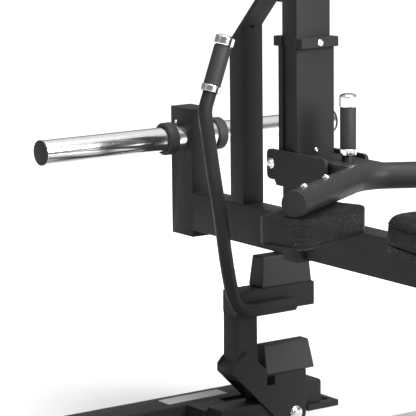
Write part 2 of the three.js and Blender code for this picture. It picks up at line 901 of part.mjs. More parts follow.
const gusset = beforeBar(block(
  [neckFront, -betweenBrackets, gussetBottomHeight],
  [gussetRear, betweenBrackets, gussetTopHeight],
));
const neck = beforeBar(block(
  [neckFront, -neckHalf, gussetBottomHeight - neckHeight],
  [gussetRear, neckHalf, gussetBottomHeight + weldLap],
));
const gripCapStart = gripStubHeight + gripRingHeight + gripRubberHeight;
const stubTopHeight = gussetTopHeight + gripCapStart - seatGap;
const stub = bar(gripStubRadius, stubTopHeight - gussetBottomHeight)
  .rotateX(Math.PI / 2)
  .translate(gripDistance, 0, (stubTopHeight + gussetBottomHeight) / 2);
add('carriage_neck', joinAll(gusset, neck, stub), blackCoat);

// Short grip standing on the gusset plate
const grip = new THREE.Group();
grip.position.set(gripDistance, 0, gussetTopHeight);
grip.rotation.x = Math.PI / 2;
machine.add(grip);
const ringStart = gripStubHeight;
const rubberStart = ringStart + gripRingHeight;
const gripTop = gripCapStart + gripCapHeight;

function sleeveOn(inner, outer, start, end) {
  return turned([[inner, start], [outer, start], [outer, end], [inner, end]]);
}

const stubBore = (gripStubRadius + seatGap) / Math.cos(Math.PI / roundSides);
const gripRingRadius = gripStubRadius + gripRingDepth;
const gripRubberRadius = gripStubRadius + gripRubberDepth;
add('grip_ring', sleeveOn(stubBore, gripRingRadius, ringStart, rubberStart), chrome, grip);
add('grip_rubber', sleeveOn(stubBore, gripRubberRadius, rubberStart, gripCapStart), blackRubber, grip);
add('grip_cap', turned([
  [0, gripCapStart],
  [gripRingRadius, gripCapStart],
  [gripRingRadius, gripTop - gripDomeHeight],
  [gripRingRadius - gripDomeHeight, gripTop],
  [0, gripTop],
]), chrome, grip);

// Thigh pads hang under the arms, crown down
const padTop = barHeight - barRadius - seatGap;

function padPlace(geometry, side) {
  return geometry
    .rotateX(Math.PI)
    .rotateZ(Math.PI / 2 - side * radians(padTurnDegrees))
    .translate(barApexDistance + padBack, side * padOffset, padTop);
}

const padShape = {
  length: padLength,
  depth: padDepth,
  thickness: padThickness,
  corner: padCornerRadius,
  edge: padEdgeRadius,
  crown: padCrown,
  drawIn: padDrawIn,
};
add('thigh_pad_left', padPlace(cushion(padShape), -1), blackLeather);
add('thigh_pad_right', padPlace(cushion(padShape), 1), blackLeather);

// Catch: two swing plates astride the mount tube, with the post and crossbar that carry the bumper
const postLeft = -catchTubeSize / 2;
const postRight = catchTubeSize / 2;
const plateLeft = postLeft - catchPlateLip;
const plateLeftHeight = catchPlateTopHeight + plateLeftRise;
const plateBottomHeight = catchPivotHeight - catchPlateRound;
const plateRight = catchPivotOffset + catchPlateRound;
const fillerRight = postRight + fillerReach;
const plateNotch = fillerRight + plateNotchInset;

function swingPlateShape() {
  const shape = outline([
    [plateLeft, plateLeftHeight],
    [catchPivotOffset - catchPlateFootInset, plateBottomHeight],
    [catchPivotOffset, plateBottomHeight],
  ]);
  shape.absarc(catchPivotOffset, catchPivotHeight, catchPlateRound, -Math.PI / 2, 0, false);
  shape.lineTo(plateRight, catchPlateTopHeight);
  shape.lineTo(plateNotch, catchPlateTopHeight);
  shape.lineTo(plateNotch, catchPlateTopHeight + plateNotchStep);
  shape.lineTo(postRight - platePostInset, catchPostBottomHeight);
  shape.lineTo(-platePeakOffset, catchPostBottomHeight + platePeakRise);
  shape.lineTo(postLeft - platePostLap, catchPostBottomHeight + plateShoulderRise);
  shape.lineTo(plateLeft, plateLeftHeight + plateEdgeHeight);
  shape.closePath();
  const half = catchHoleSize / 2;
  const y = catchPivotOffset - catchHoleInset;
  const z = catchPlateTopHeight - catchHoleRim - half;
  shape.holes.push(outline([
    [y - half, z - half],
    [y - half, z + half],
    [y + half, z + half],
    [y + half, z - half],
  ]));
  return shape;
}

const catchBore = bore(catchBoltRadius + seatGap, 2 * catchTubeSize)
  .rotateZ(Math.PI / 2)
  .translate(catchMiddle, catchPivotOffset, catchPivotHeight);

function swingPlate(front, rear) {
  return cut(alongX(swingPlateShape(), front, rear), catchBore);
}

add('swing_plate_front', swingPlate(catchFront - catchPlateThickness, catchFront), blackCoat);
add('swing_plate_rear', swingPlate(catchRear, catchRear + catchPlateThickness), blackCoat);

const filler = alongX(outline([
  [plateLeft, plateLeftHeight],
  [plateLeft + fillerSlope, plateLeftHeight - fillerSlope],
  [fillerRight, plateLeftHeight - fillerDrop],
  [fillerRight, plateLeftHeight],
  [postRight, catchPostBottomHeight],
  [postLeft - platePostLap, catchPostBottomHeight],
  [plateLeft, plateLeftHeight + fillerEdge],
]), catchFront, catchRear);
const postFoot = catchPostBottomHeight - weldLap;
const postTube = boxTube(catchTubeSize, catchTubeSize, crossbarBottomHeight - postFoot)
  .translate(catchMiddle, 0, postFoot);
add('catch_post', joinAll(filler, postTube), blackCoat);
const upperBumperLeft = postRight + upperBumperInset;
const upperBumperRight = upperBumperLeft + upperBumperWidth;
const crossbarRight = upperBumperRight + crossbarLip;
const crossbar = boxTube(catchTubeSize, catchTubeSize, crossbarRight - postLeft)
  .rotateX(-Math.PI / 2)
  .translate(catchMiddle, postLeft, crossbarBottomHeight + catchTubeSize / 2);
add('catch_crossbar', crossbar, blackCoat);

// A bumper: its outline across the machine, narrowed from foot to head in front and behind
function bumper(across, front, rear, [bottom, top], taper) {
  const along = alongY(outline([
    [front, bottom],
    [rear, bottom],
    [rear - taper, top],
    [front + taper, top],
  ]), -leverWidth, 2 * upperBumperWidth);
  return toGeometry(toSolid(alongX(across, front, rear)).intersect(toSolid(along)));
}

// Upper bumper: its top falls away as an arc about the pivot, so it swings clear of the lever stop
const crownRadius = upperBumperTopHeight - catchPivotHeight;
const bumperTopRight = upperBumperRight - upperBumperTaper;
const crownAngle = Math.acos((bumperTopRight - catchPivotOffset) / crownRadius);
const upperBumperShape = outline([
  [upperBumperLeft, crossbarTopHeight],
  [upperBumperRight, crossbarTopHeight],
  [bumperTopRight, catchPivotHeight + crownRadius * Math.sin(crownAngle)],
]);
upperBumperShape.absarc(catchPivotOffset, catchPivotHeight, crownRadius, crownAngle, Math.PI / 2, false);
upperBumperShape.lineTo(upperBumperLeft + upperBumperLeftTaper, upperBumperTopHeight);
upperBumperShape.closePath();
const upperBumperSpan = [crossbarTopHeight, upperBumperTopHeight];
const upperBumper = bumper(upperBumperShape, catchFront, catchRear, upperBumperSpan, upperBumperSideTaper);
add('upper_bumper', upperBumper, blackRubber);

// Low bumper: it stands on the edges of the swing plates, and comes under the lever once they swing
const lowBumperLeft = plateNotch + seatGap;
const lowBumperRight = lowBumperLeft + lowBumperLength;
const lowBumperTopHeight = catchPlateTopHeight + lowBumperHeight;
const lowBumperShape = outline([
  [lowBumperLeft, catchPlateTopHeight],
  [lowBumperRight, catchPlateTopHeight],
  [lowBumperRight - lowBumperTaper, lowBumperTopHeight],
  [lowBumperLeft + lowBumperLeftTaper, lowBumperTopHeight],
]);
const plateFrontFace = catchFront - catchPlateThickness;
const plateRearFace = catchRear + catchPlateThickness;
const lowBumperSpan = [catchPlateTopHeight, lowBumperTopHeight];
const lowBumper = bumper(lowBumperShape, plateFrontFace, plateRearFace, lowBumperSpan, lowBumperSideTaper);
add('low_bumper', lowBumper, blackRubber);

// Long handle: it runs behind the crossbar, climbs past the lever and leans back clear of the plates
const handleX = catchRear + handleRadius + seatGap;
const handleFootHeight = crossbarBottomHeight + handleRadius - handleFootDrop;
const gripAngle = radians(handleGripDegrees);
const gripLean = new THREE.Vector3(0, Math.sin(gripAngle), Math.cos(gripAngle));
const handleStart = new THREE.Vector3(
  handleX + handleLean,
  -handleGripReach,
  handleFootHeight + handleRise,
);
const handleEnd = handleStart.clone().addScaledVector(gripLean, handleRingLength / 2 + handleRubberLength);

function handlePoints() {
  const points = [new THREE.Vector3(handleX, handleRightEnd, handleFootHeight)];
  handleRouteShares.forEach(([lean, reach, rise]) => points.push(new THREE.Vector3(
    handleX + lean * handleLean,
    -reach * handleReach,
    handleFootHeight + rise * handleRise,
  )));
  const beforeRing = handleStart.clone().addScaledVector(gripLean, -2 * handleRingLength);
  const atRing = handleStart.clone().addScaledVector(gripLean, -handleRingLength);
  const bent = new THREE.CatmullRomCurve3([...points, beforeRing], false, 'centripetal');
  return [...bent.getPoints(handleSteps), atRing, handleEnd];
}

add('handle_tube', sweep(handlePoints(), handleRadius, handleWall, handleSides), blackCoat);

function onHandle(geometry) {
  const turn = new THREE.Quaternion().setFromUnitVectors(new THREE.Vector3(0, 1, 0), gripLean);
  return geometry.applyQuaternion(turn).translate(handleStart.x, handleStart.y, handleStart.z);
}

const handleBore = (handleRadius + seatGap) / Math.cos(Math.PI / roundSides);
const handleRingRadius = handleRadius + handleRingDepth;
const handleRubberRadius = handleRadius + handleRubberDepth;
const handleRingEnd = handleRingLength / 2;
const handleRubberEnd = handleRingEnd + handleRubberLength;
const handleCapEnd = handleRubberEnd + seatGap + handleCapLength;
const handleRing = sleeveOn(handleBore, handleRingRadius, -handleRingEnd, handleRingEnd);
const handleRubber = sleeveOn(handleBore, handleRubberRadius, handleRingEnd, handleRubberEnd);
add('handle_ring', onHandle(handleRing), chrome);
add('handle_rubber', onHandle(handleRubber), blackRubber);
add('handle_cap', onHandle(turned([
  [0, handleRubberEnd + seatGap],
  [handleRingRadius, handleRubberEnd + seatGap],
  [handleRingRadius, handleCapEnd - gripDomeHeight],
  [handleRingRadius - gripDomeHeight, handleCapEnd],
  [0, handleCapEnd],
])), chrome);

// Fixed mount of the catch: a tube between the swing plates and the notched box that ties it to
// the front beam
const mountFront = catchFront + slideGap;
const mountRear = catchRear - slideGap;
const mountTubeLeft = -mountReach;
const mountTubeRight = catchPivotOffset + mountEndReach;
const mountTube = boxTube(catchTubeSize, mountRear - mountFront, mountTubeRight - mountTubeLeft)
  .rotateZ(Math.PI / 2)
  .rotateX(-Math.PI / 2)
  .translate(catchMiddle, mountTubeLeft, spineHeight + catchTubeSize / 2);
add('catch_mount', cut(mountTube, catchBore), blackCoat);

const mountBoxRear = catchFront - mountBoxClearance;
const mountNotchRear = beamDepth + mountNotchDepth;
const beamTopHeight = anchorThickness + beamHeight;
const mountBox = extrude(outline([
  [beamDepth, -mountBoxLeft],
  [mountFront, -mountBoxLeft],
  [mountFront, mountBoxWidth - mountBoxLeft],
  [mountBoxRear, mountBoxWidth - mountBoxLeft],
  [mountBoxRear, mountBoxRight],
  [beamDepth, mountBoxRight],
]), beamTopHeight - spineHeight).translate(0, 0, spineHeight);
const mountNotch = block(
  [beamDepth - cutOverrun, mountNotchLeft, beamTopHeight - mountNotchDrop],
  [mountNotchRear, mountNotchRight, beamTopHeight + cutOverrun],
);
add('catch_mount_box', cut(mountBox, mountNotch), blackCoat);

// Catch bolt: the fixed axle that the swing plates turn on
const boltRear = plateRearFace + slideGap;
const boltFront = plateFrontFace - slideGap;
const catchBolt = add('catch_bolt', turned([
  [0, boltFront - catchBoltHeadHeight],
  [catchNutRadius, boltFront - catchBoltHeadHeight],
  [catchNutRadius, boltFront],
  [catchBoltRadius, boltFront],
  [catchBoltRadius, boltRear],
  [catchBoltHeadRadius, boltRear],
  [catchBoltHeadRadius * boltDomeShare, boltRear + catchBoltHeadHeight / 2],
  [catchBoltHeadRadius / 2, boltRear + catchBoltHeadHeight],
  [0, boltRear + catchBoltHeadHeight],
]), chrome);
catchBolt.rotation.z = -Math.PI / 2;
catchBolt.position.set(0, catchPivotOffset, catchPivotHeight);

// Base: two cross beams on anchor plates and the flat spine between them; the front beam runs
// further to the left than to the right
function beam(front, left, right) {
  return boxTube(beamHeight, beamDepth, right - left)
    .rotateZ(Math.PI / 2)
    .rotateX(-Math.PI / 2)
    .translate(front + beamDepth / 2, left, anchorThickness + beamHeight / 2);
}

function anchorPlate(front, beamEnd) {
  const side = Math.sign(beamEnd);
  const inner = beamEnd - side * anchorUnderlap;
  const outer = beamEnd + side * anchorReach;
  const low = [front - anchorFrontLip, Math.min(inner, outer), 0];
  const high = [front + beamDepth + anchorRearLip, Math.max(inner, outer), anchorThickness];
  const hole = bore(anchorHoleRadius, 2 * anchorThickness + cutOverrun)
    .rotateX(Math.PI / 2)
    .translate(front + beamDepth - anchorHoleSetback, outer - side * anchorHoleInset, 0);
  return cut(block(low, high), hole);
}

function addBeam(name, front, left, right) {
  add(`${name}_beam`, beam(front, left, right), blackCoat);
  add(`${name}_anchor_left`, anchorPlate(front, left), blackCoat);
  add(`${name}_anchor_right`, anchorPlate(front, right), blackCoat);
}

addBeam('front', 0, -frontBeamLeft, frontBeamRight);
addBeam('rear', rearBeamDistance, -rearBeamReach, rearBeamReach);
add('base_spine', boxTube(spineHeight, spineWidth, rearBeamDistance - beamDepth)
  .rotateY(Math.PI / 2)
  .translate(beamDepth, 0, spineHeight / 2), blackCoat);

// Foot rest: a cross tube on a short post, with a bright tread on top
const footTubeMiddle = footTubeDistance + footTubeDepth / 2;
const footTubeBottomHeight = spineHeight + footPostHeight;
const footPost = boxTube(footTubeDepth, footPostWidth, footPostHeight + weldLap)
  .translate(footTubeMiddle, 0, spineHeight);
const footTube = boxTube(footTubeHeight, footTubeDepth, footWidth)
  .rotateZ(Math.PI / 2)
  .rotateX(-Math.PI / 2)
  .translate(footTubeMiddle, -footWidth / 2, footTubeBottomHeight + footTubeHeight / 2);
add('foot_tube', joinAll(footTube, footPost), blackCoat);
const treadFront = footTubeMiddle - treadDepth / 2;
const footTopHeight = footTubeBottomHeight + footTubeHeight;
add('foot_tread', block(
  [treadFront, -footWidth / 2, footTopHeight],
  [treadFront + treadDepth, footWidth / 2, footTopHeight + treadThickness],
), greyPlate);

// Seat: cushion, board and plate on a tilted frame, carried by the seat post
const seat = new THREE.Group();
seat.position.set(seatFront, 0, seatTopHeight);
seat.rotation.y = radians(seatTiltDegrees);
machine.add(seat);
const boardTop = -seatCushionThickness;
const boardBottom = boardTop - seatBoardThickness;
const plateBottom = boardBottom - seatPlateThickness;
const seatCushion = cushion({
  length: seatDepth,
  depth: seatWidth,
  thickness: seatCushionThickness,
  corner: seatCornerRadius,
  edge: seatEdgeRadius,
  crown: seatCrown,
  drawIn: seatDrawIn,
}).translate(seatDepth / 2, 0, boardTop + seatGap);
add('seat_cushion', seatCushion, blackLeather, seat);
const boardHalf = seatWidth / 2 - seatDrawIn;
const boardShape = roundedOutline([
  [seatDrawIn, -boardHalf],
  [seatDepth - seatDrawIn, -boardHalf],
  [seatDepth - seatDrawIn, boardHalf],
  [seatDrawIn, boardHalf],
], seatCornerRadius, [0, 1, 2, 3]);
const seatBoard = extrude(boardShape, seatBoardThickness).translate(0, 0, boardBottom);
add('seat_board', seatBoard, blackLeather, seat);

// Seat post, its top cut to the tilt of the seat and welded to the seat plate
const seatTilt = radians(seatTiltDegrees);
const onSeat = (geometry) => geometry.rotateY(seatTilt).translate(seatFront, 0, seatTopHeight);
const seatPostTube = boxTube(seatPostDepth, seatPostWidth, seatTopHeight - spineHeight)
  .translate(seatPostDistance + seatPostDepth / 2, 0, spineHeight);
const seatSlope = onSeat(block(
  [-seatDepth, -seatWidth, plateBottom + weldLap],
  [2 * seatDepth, seatWidth, seatTopHeight],
));
const seatPlate = onSeat(block(
  [seatPlateFront, -seatPlateWidth / 2, plateBottom],
  [seatPlateFront + seatPlateLength, seatPlateWidth / 2, boardBottom - seatGap],
));
add('seat_post', joinAll(cut(seatPostTube, seatSlope), seatPlate), blackCoat);

// Pivot plates on the front of the seat post, with the shaft that the lever turns on
const pivotPlateInside = sleeveHalf + slideGap;
const pivotPlateOutside = pivotPlateInside + pivotPlateThickness;
const plateBore = bore(shaftRadius + runningGap, 2 * pivotPlateOutside + cutOverrun)
  .translate(pivotDistance, 0, leverMiddleHeight);

function pivotPlate(inner, outer) {
  return cut(block(
    [pivotDistance - pivotPlateReach, inner, leverMiddleHeight - pivotPlateHeight / 2],
    [seatPostDistance, outer, leverMiddleHeight + pivotPlateHeight / 2],
  ), plateBore);
}

add('pivot_plate_left', pivotPlate(-pivotPlateOutside, -pivotPlateInside), blackCoat);
add('pivot_plate_right', pivotPlate(pivotPlateInside, pivotPlateOutside), blackCoat);
const shaftOut = pivotPlateOutside + seatGap;
const pivotShaft = add('pivot_shaft', turned([
  [0, -shaftOut - shaftHeadThickness],
  [shaftHeadRadius, -shaftOut - shaftHeadThickness],
  [shaftHeadRadius, -shaftOut],
  [shaftRadius, -shaftOut],
  [shaftRadius, shaftOut],
  [shaftHeadRadius, shaftOut],
  [shaftHeadRadius, shaftOut + shaftHeadThickness],
  [0, shaftOut + shaftHeadThickness],
]), chrome);
pivotShaft.position.set(pivotDistance, 0, leverMiddleHeight);

// The row frame: origin under the middle of the machine, on the floor
machine.updateMatrixWorld(true);
const extent = new THREE.Box3().setFromObject(machine);
const middle = extent.getCenter(new THREE.Vector3());
machine.position.set(-middle.x, -middle.y, -extent.min.z);

export default machine;
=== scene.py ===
# %% [markdown]
# # A seated calf raise machine, dressed in Blender
# The steel frame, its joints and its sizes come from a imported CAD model, which is loaded as a fixed
# frame. This script gives every piece its finish, replaces the faceted round and soft pieces with
# smooth ones, and adds the small fasteners and trim. All lengths are metres.

# %% The frame
import json
import math

import bmesh
import bpy
import numpy as np
from mathutils import Matrix, Vector
from mathutils.bvhtree import BVHTree


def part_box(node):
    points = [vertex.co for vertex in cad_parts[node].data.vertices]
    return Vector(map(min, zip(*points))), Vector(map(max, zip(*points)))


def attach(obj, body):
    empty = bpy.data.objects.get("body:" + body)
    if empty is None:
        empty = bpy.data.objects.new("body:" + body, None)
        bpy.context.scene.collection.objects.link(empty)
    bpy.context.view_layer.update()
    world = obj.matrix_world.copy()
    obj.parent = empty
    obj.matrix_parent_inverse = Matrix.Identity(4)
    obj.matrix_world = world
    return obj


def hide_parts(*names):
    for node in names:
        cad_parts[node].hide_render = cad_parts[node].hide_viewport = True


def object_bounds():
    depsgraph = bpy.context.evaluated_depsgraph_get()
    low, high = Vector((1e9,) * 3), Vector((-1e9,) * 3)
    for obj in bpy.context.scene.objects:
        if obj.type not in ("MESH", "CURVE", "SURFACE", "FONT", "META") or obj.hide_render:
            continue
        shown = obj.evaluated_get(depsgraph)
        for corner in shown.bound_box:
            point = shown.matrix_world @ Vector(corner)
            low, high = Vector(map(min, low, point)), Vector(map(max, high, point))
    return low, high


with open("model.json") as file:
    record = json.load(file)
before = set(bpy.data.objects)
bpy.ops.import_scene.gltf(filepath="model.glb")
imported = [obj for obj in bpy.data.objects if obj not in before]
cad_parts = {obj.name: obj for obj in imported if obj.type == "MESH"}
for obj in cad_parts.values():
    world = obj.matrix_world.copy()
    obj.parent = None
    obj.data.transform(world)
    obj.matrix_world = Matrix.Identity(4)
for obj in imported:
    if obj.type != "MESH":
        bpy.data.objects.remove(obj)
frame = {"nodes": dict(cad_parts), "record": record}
nodes = frame["nodes"]
cad_low, cad_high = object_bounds()
bodies = frame["record"]["behaviour"]["bodies"]
body_of = {node: body for body, members in bodies.items() for node in members}
print("bodies:", {body: len(members) for body, members in bodies.items()})


# %% [markdown]
# ## Camera
# The photograph was taken with a long lens from behind the user's left shoulder, a little above the
# pads. The camera stands at a fixed place measured from the axis of the weight horn, because that
# chrome tube gave the scale. Its three image axes are built from a yaw, a pitch and a small roll.

# %% The photograph's camera
horn_low, horn_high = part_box("horn_tube")
horn_axis = (horn_low + horn_high) / 2

CAMERA_FROM_HORN = Vector((4.0226, -2.7682, 0.7256))
CAMERA_YAW = math.radians(55.08)
CAMERA_PITCH = math.radians(10.20)
CAMERA_ROLL = math.radians(0.62)
PHOTO_SIDE_PIXELS = 416
FOCAL_PIXELS = 2367.7
SENSOR_WIDTH_MM = 36
CAMERA_CLIP_END = 60


def image_axes(yaw, pitch, roll):
    """Right, up and backward axes of a camera that looks along yaw and pitch and is then rolled."""
    forward = Vector((
        -math.sin(yaw) * math.cos(pitch), math.cos(yaw) * math.cos(pitch), -math.sin(pitch),
    ))
    level_right = Vector((math.cos(yaw), math.sin(yaw), 0))
    level_down = forward.cross(level_right)
    right = level_right * math.cos(roll) + level_down * math.sin(roll)
    down = level_down * math.cos(roll) - level_right * math.sin(roll)
    return right, -down, -forward


camera_data = bpy.data.cameras.new("photo_camera")
camera_data.sensor_width = SENSOR_WIDTH_MM
camera_data.lens = FOCAL_PIXELS / PHOTO_SIDE_PIXELS * SENSOR_WIDTH_MM
camera_data.clip_end = CAMERA_CLIP_END
camera = bpy.data.objects.new("photo_camera", camera_data)
bpy.context.scene.collection.objects.link(camera)
right, up, back = image_axes(CAMERA_YAW, CAMERA_PITCH, CAMERA_ROLL)
turn = Matrix((right, up, back)).transposed().to_4x4()
camera.matrix_world = Matrix.Translation(horn_axis + CAMERA_FROM_HORN) @ turn
bpy.context.scene.camera = camera
print("lens", round(camera_data.lens, 1), "mm")


# %% [markdown]
# ## Floor, world and lamps
# The picture has a white studio: the floor melts into the background and keeps only a faint shadow.
# The world is white for what the camera and the chrome see, and weaker for the light that it gives.
# The floor is partly white by itself, more so further from the machine, and partly lit, which keeps
# the lamps' shadow soft and light. The dim white near the machine is a painted shadow round its base.

# %% Node helpers
bpy.context.scene.view_settings.view_transform = "Standard"


def new_material(name):
    """A new material, its node tree and the Principled shader joined to its output."""
    material = bpy.data.materials.new(name)
    material.use_nodes = True
    tree = material.node_tree
    shader = tree.nodes["Principled BSDF"]
    return material, tree, shader


def add_node(tree, kind, **settings):
    """A node of that kind whose inputs or properties are set by name."""
    node = tree.nodes.new(kind)
    for key, value in settings.items():
        if key in node.inputs:
            node.inputs[key].default_value = value
        else:
            setattr(node, key, value)
    return node


def grey(value):
    """An opaque grey."""
    return (value, value, value, 1)


def object_coordinates(tree):
    return add_node(tree, "ShaderNodeTexCoord").outputs["Object"]


def noise(tree, vector, scale, detail=3.0):
    """Cloudy noise; scale counts its features in a metre."""
    node = add_node(tree, "ShaderNodeTexNoise")
    node.inputs["Scale"].default_value = scale
    node.inputs["Detail"].default_value = detail
    tree.links.new(vector, node.inputs["Vector"])
    return node.outputs["Fac"]


def spread(tree, value, low, high, from_low=0.3, from_high=0.7):
    """The value carried from its own range to the range from low to high."""
    node = add_node(tree, "ShaderNodeMapRange")
    node.inputs["From Min"].default_value = from_low
    node.inputs["From Max"].default_value = from_high
    node.inputs["To Min"].default_value = low
    node.inputs["To Max"].default_value = high
    tree.links.new(value, node.inputs["Value"])
    return node.outputs["Result"]


def blend_colours(tree, share, first, second):
    """The colour between two, by a share from 0 to 1."""
    node = add_node(tree, "ShaderNodeMix", data_type="RGBA")
    colour_inputs = [socket for socket in node.inputs if socket.type == "RGBA"]
    colour_inputs[0].default_value = (*first, 1)
    colour_inputs[1].default_value = (*second, 1)
    tree.links.new(share, node.inputs["Factor"])
    return [socket for socket in node.outputs if socket.type == "RGBA"][0]


def bump(tree, shader, height, strength, distance):
    """Fine relief from a height, for the shader's normal."""
    node = add_node(tree, "ShaderNodeBump")
    node.inputs["Strength"].default_value = strength
    node.inputs["Distance"].default_value = distance
    tree.links.new(height, node.inputs["Height"])
    tree.links.new(node.outputs["Normal"], shader.inputs["Normal"])


def dress(tree, shader, colour, gloss=None, specular=0.5):
    """Joins a colour and a roughness to the shader, and sets how strongly it mirrors."""
    tree.links.new(colour, shader.inputs["Base Color"])
    if gloss is not None:
        tree.links.new(gloss, shader.inputs["Roughness"])
    shader.inputs["Specular IOR Level"].default_value = specular


# %% Floor and world
FLOOR_HALF_SIZE = 14.0
# The floor's own white near the machine is a painted shadow; far off it is the backdrop's white.
FLOOR_PAINTED_SHADOW_WHITE, FLOOR_FAR_WHITE = 0.02, 0.95
FLOOR_NEAR, FLOOR_FAR = 0.60, 1.90
FLOOR_LIT_SHARE = 0.60
FLOOR_BOUNCE = 0.45


def floor_material():
    """White for the camera, with a lit share so that shadows show; plain diffuse for bounces.

    Its own white grows with the distance d from the machine, so the dim white near it is a painted
    shadow round the base: near + (far - near) * clamp((d - d0) / (d1 - d0)).
    """
    material, tree, shader = new_material("studio_floor")
    link = tree.links.new
    tree.nodes.remove(shader)
    output = tree.nodes["Material Output"]
    lit = add_node(tree, "ShaderNodeBsdfDiffuse", Color=grey(FLOOR_LIT_SHARE))
    glow = add_node(tree, "ShaderNodeEmission")
    distance = add_node(tree, "ShaderNodeVectorMath", operation="DISTANCE")
    link(object_coordinates(tree), distance.inputs[0])
    distance.inputs[1].default_value = ((cad_low.x + cad_high.x) / 2, 0, 0)
    # Dim glow near the machine, full further off: a painted shadow round the base.
    glow_with_painted_shadow = spread(
        tree, distance.outputs["Value"], FLOOR_PAINTED_SHADOW_WHITE, FLOOR_FAR_WHITE, FLOOR_NEAR, FLOOR_FAR)
    link(glow_with_painted_shadow, glow.inputs["Strength"])
    both = add_node(tree, "ShaderNodeAddShader")
    plain = add_node(tree, "ShaderNodeBsdfDiffuse", Color=grey(FLOOR_BOUNCE))
    path = add_node(tree, "ShaderNodeLightPath")
    chooser = add_node(tree, "ShaderNodeMixShader")
    seen = add_node(tree, "ShaderNodeMath", operation="MAXIMUM")
    link(path.outputs["Is Camera Ray"], seen.inputs[0])
    link(path.outputs["Is Glossy Ray"], seen.inputs[1])
    link(lit.outputs[0], both.inputs[0])
    link(glow.outputs[0], both.inputs[1])
    link(seen.outputs[0], chooser.inputs[0])
    link(plain.outputs[0], chooser.inputs[1])
    link(both.outputs[0], chooser.inputs[2])
    link(chooser.outputs[0], output.inputs["Surface"])
    return material


def make_object(name, mesh):
    thing = bpy.data.objects.new(name, mesh)
    bpy.context.scene.collection.objects.link(thing)
    return thing


floor_corners = np.array([(-1, -1, 0), (1, -1, 0), (1, 1, 0), (-1, 1, 0)], float)
floor_corners *= FLOOR_HALF_SIZE
floor_mesh = bpy.data.meshes.new("studio_floor")
floor_mesh.from_pydata(floor_corners.tolist(), [], [(0, 1, 2, 3)])
floor_mesh.materials.append(floor_material())
studio_floor = make_object("studio_floor", floor_mesh)

WORLD_LIGHT = 0.24
REFLECTED_WORLD = (
    (0.0, 1.0), (0.46, 1.0), (0.50, 0.85), (0.56, 0.30), (0.72, 0.18), (0.82, 0.75), (1.0, 1.0),
)


def studio_world():
    """White where it is looked at, weaker as a light, and with a grey band in reflections.

    REFLECTED_WORLD holds pairs of height and grey, from height 0 straight below to 1 above.
    """
    world = bpy.data.worlds.new("studio")
    world.use_nodes = True
    tree = world.node_tree
    link = tree.links.new
    background = tree.nodes["Background"]
    output = tree.nodes["World Output"]
    path = add_node(tree, "ShaderNodeLightPath")
    direction = add_node(tree, "ShaderNodeTexCoord").outputs["Generated"]
    split = add_node(tree, "ShaderNodeSeparateXYZ")
    link(direction, split.inputs[0])
    ramp = add_node(tree, "ShaderNodeValToRGB")
    first, *between, last = REFLECTED_WORLD
    for position, shade in between:
        ramp.color_ramp.elements.new(position).color = grey(shade)
    ramp.color_ramp.elements[0].color = grey(first[1])
    ramp.color_ramp.elements[-1].color = grey(last[1])
    height = spread(tree, split.outputs["Z"], 0.0, 1.0, -1.0, 1.0)
    link(height, ramp.inputs["Fac"])
    link(ramp.outputs["Color"], background.inputs["Color"])
    plain = add_node(tree, "ShaderNodeBackground", Color=grey(1), Strength=1.0)
    lighting = add_node(tree, "ShaderNodeBackground", Color=grey(1), Strength=WORLD_LIGHT)
    for_glossy = add_node(tree, "ShaderNodeMixShader")
    for_camera = add_node(tree, "ShaderNodeMixShader")
    link(path.outputs["Is Glossy Ray"], for_glossy.inputs[0])
    link(lighting.outputs[0], for_glossy.inputs[1])
    link(background.outputs[0], for_glossy.inputs[2])
    link(path.outputs["Is Camera Ray"], for_camera.inputs[0])
    link(for_glossy.outputs[0], for_camera.inputs[1])
    link(plain.outputs[0], for_camera.inputs[2])
    link(for_camera.outputs[0], output.inputs["Surface"])
    return world


bpy.context.scene.world = studio_world()


# %% Lamps
def area_lamp(name, place, aim, size, watts):
    """A square soft box at a place, turned to face a point."""
    data = bpy.data.lights.new(name, "AREA")
    data.shape = "SQUARE"
    data.size = size
    data.energy = watts
    lamp = bpy.data.objects.new(name, data)
    bpy.context.scene.collection.objects.link(lamp)
    lamp.location = place
    lamp.rotation_mode = "QUATERNION"
    lamp.rotation_quaternion = (Vector(place) - Vector(aim)).to_track_quat("Z", "Y")


machine_middle = (cad_low + cad_high) / 2
LAMPS = (
    ("top_box", (0.6, -0.2, 3.6), 2.2, 165),
    ("rear_box", (3.4, 0.6, 2.2), 1.8, 310),
    ("left_box", (-0.8, -3.4, 1.8), 2.2, 3),
)
for name, place, size, watts in LAMPS:
    area_lamp(name, place, machine_middle, size, watts)

# %% [markdown]
# ## Finishes
# Every finish is a small node tree on object coordinates. The steel has a satin black powder coat
# with a faint orange peel; the chrome is bright with a slight haze; the bumpers and grips are matt
# rubber; the pads and the seat are grained leather.


# %% Powder coat and plastic
def satin_black(name, colours, cloud, gloss, relief):
    """Satin black, a little cloudy in colour and gloss, with a fine relief such as orange peel.

    colours are the darkest and the lightest; cloud, gloss and relief each start with the scale of
    their noise, and go on with its detail, the highest roughness and the strength.
    """
    material, tree, shader = new_material(name)
    place = object_coordinates(tree)
    colour = blend_colours(tree, noise(tree, place, *cloud), *colours)
    gloss_scale, most_rough = gloss
    roughness = spread(tree, noise(tree, place, gloss_scale), low=0.40, high=most_rough)
    dress(tree, shader, colour, roughness, specular=0.12)
    relief_scale, strength = relief
    bump(tree, shader, noise(tree, place, relief_scale, detail=2.0), strength, distance=0.0002)
    return material


COAT_COLOURS = (0.015, 0.0152, 0.0157), (0.021, 0.0212, 0.0217)
PLASTIC_COLOURS = (0.019, 0.019, 0.0197), (0.025, 0.025, 0.0258)


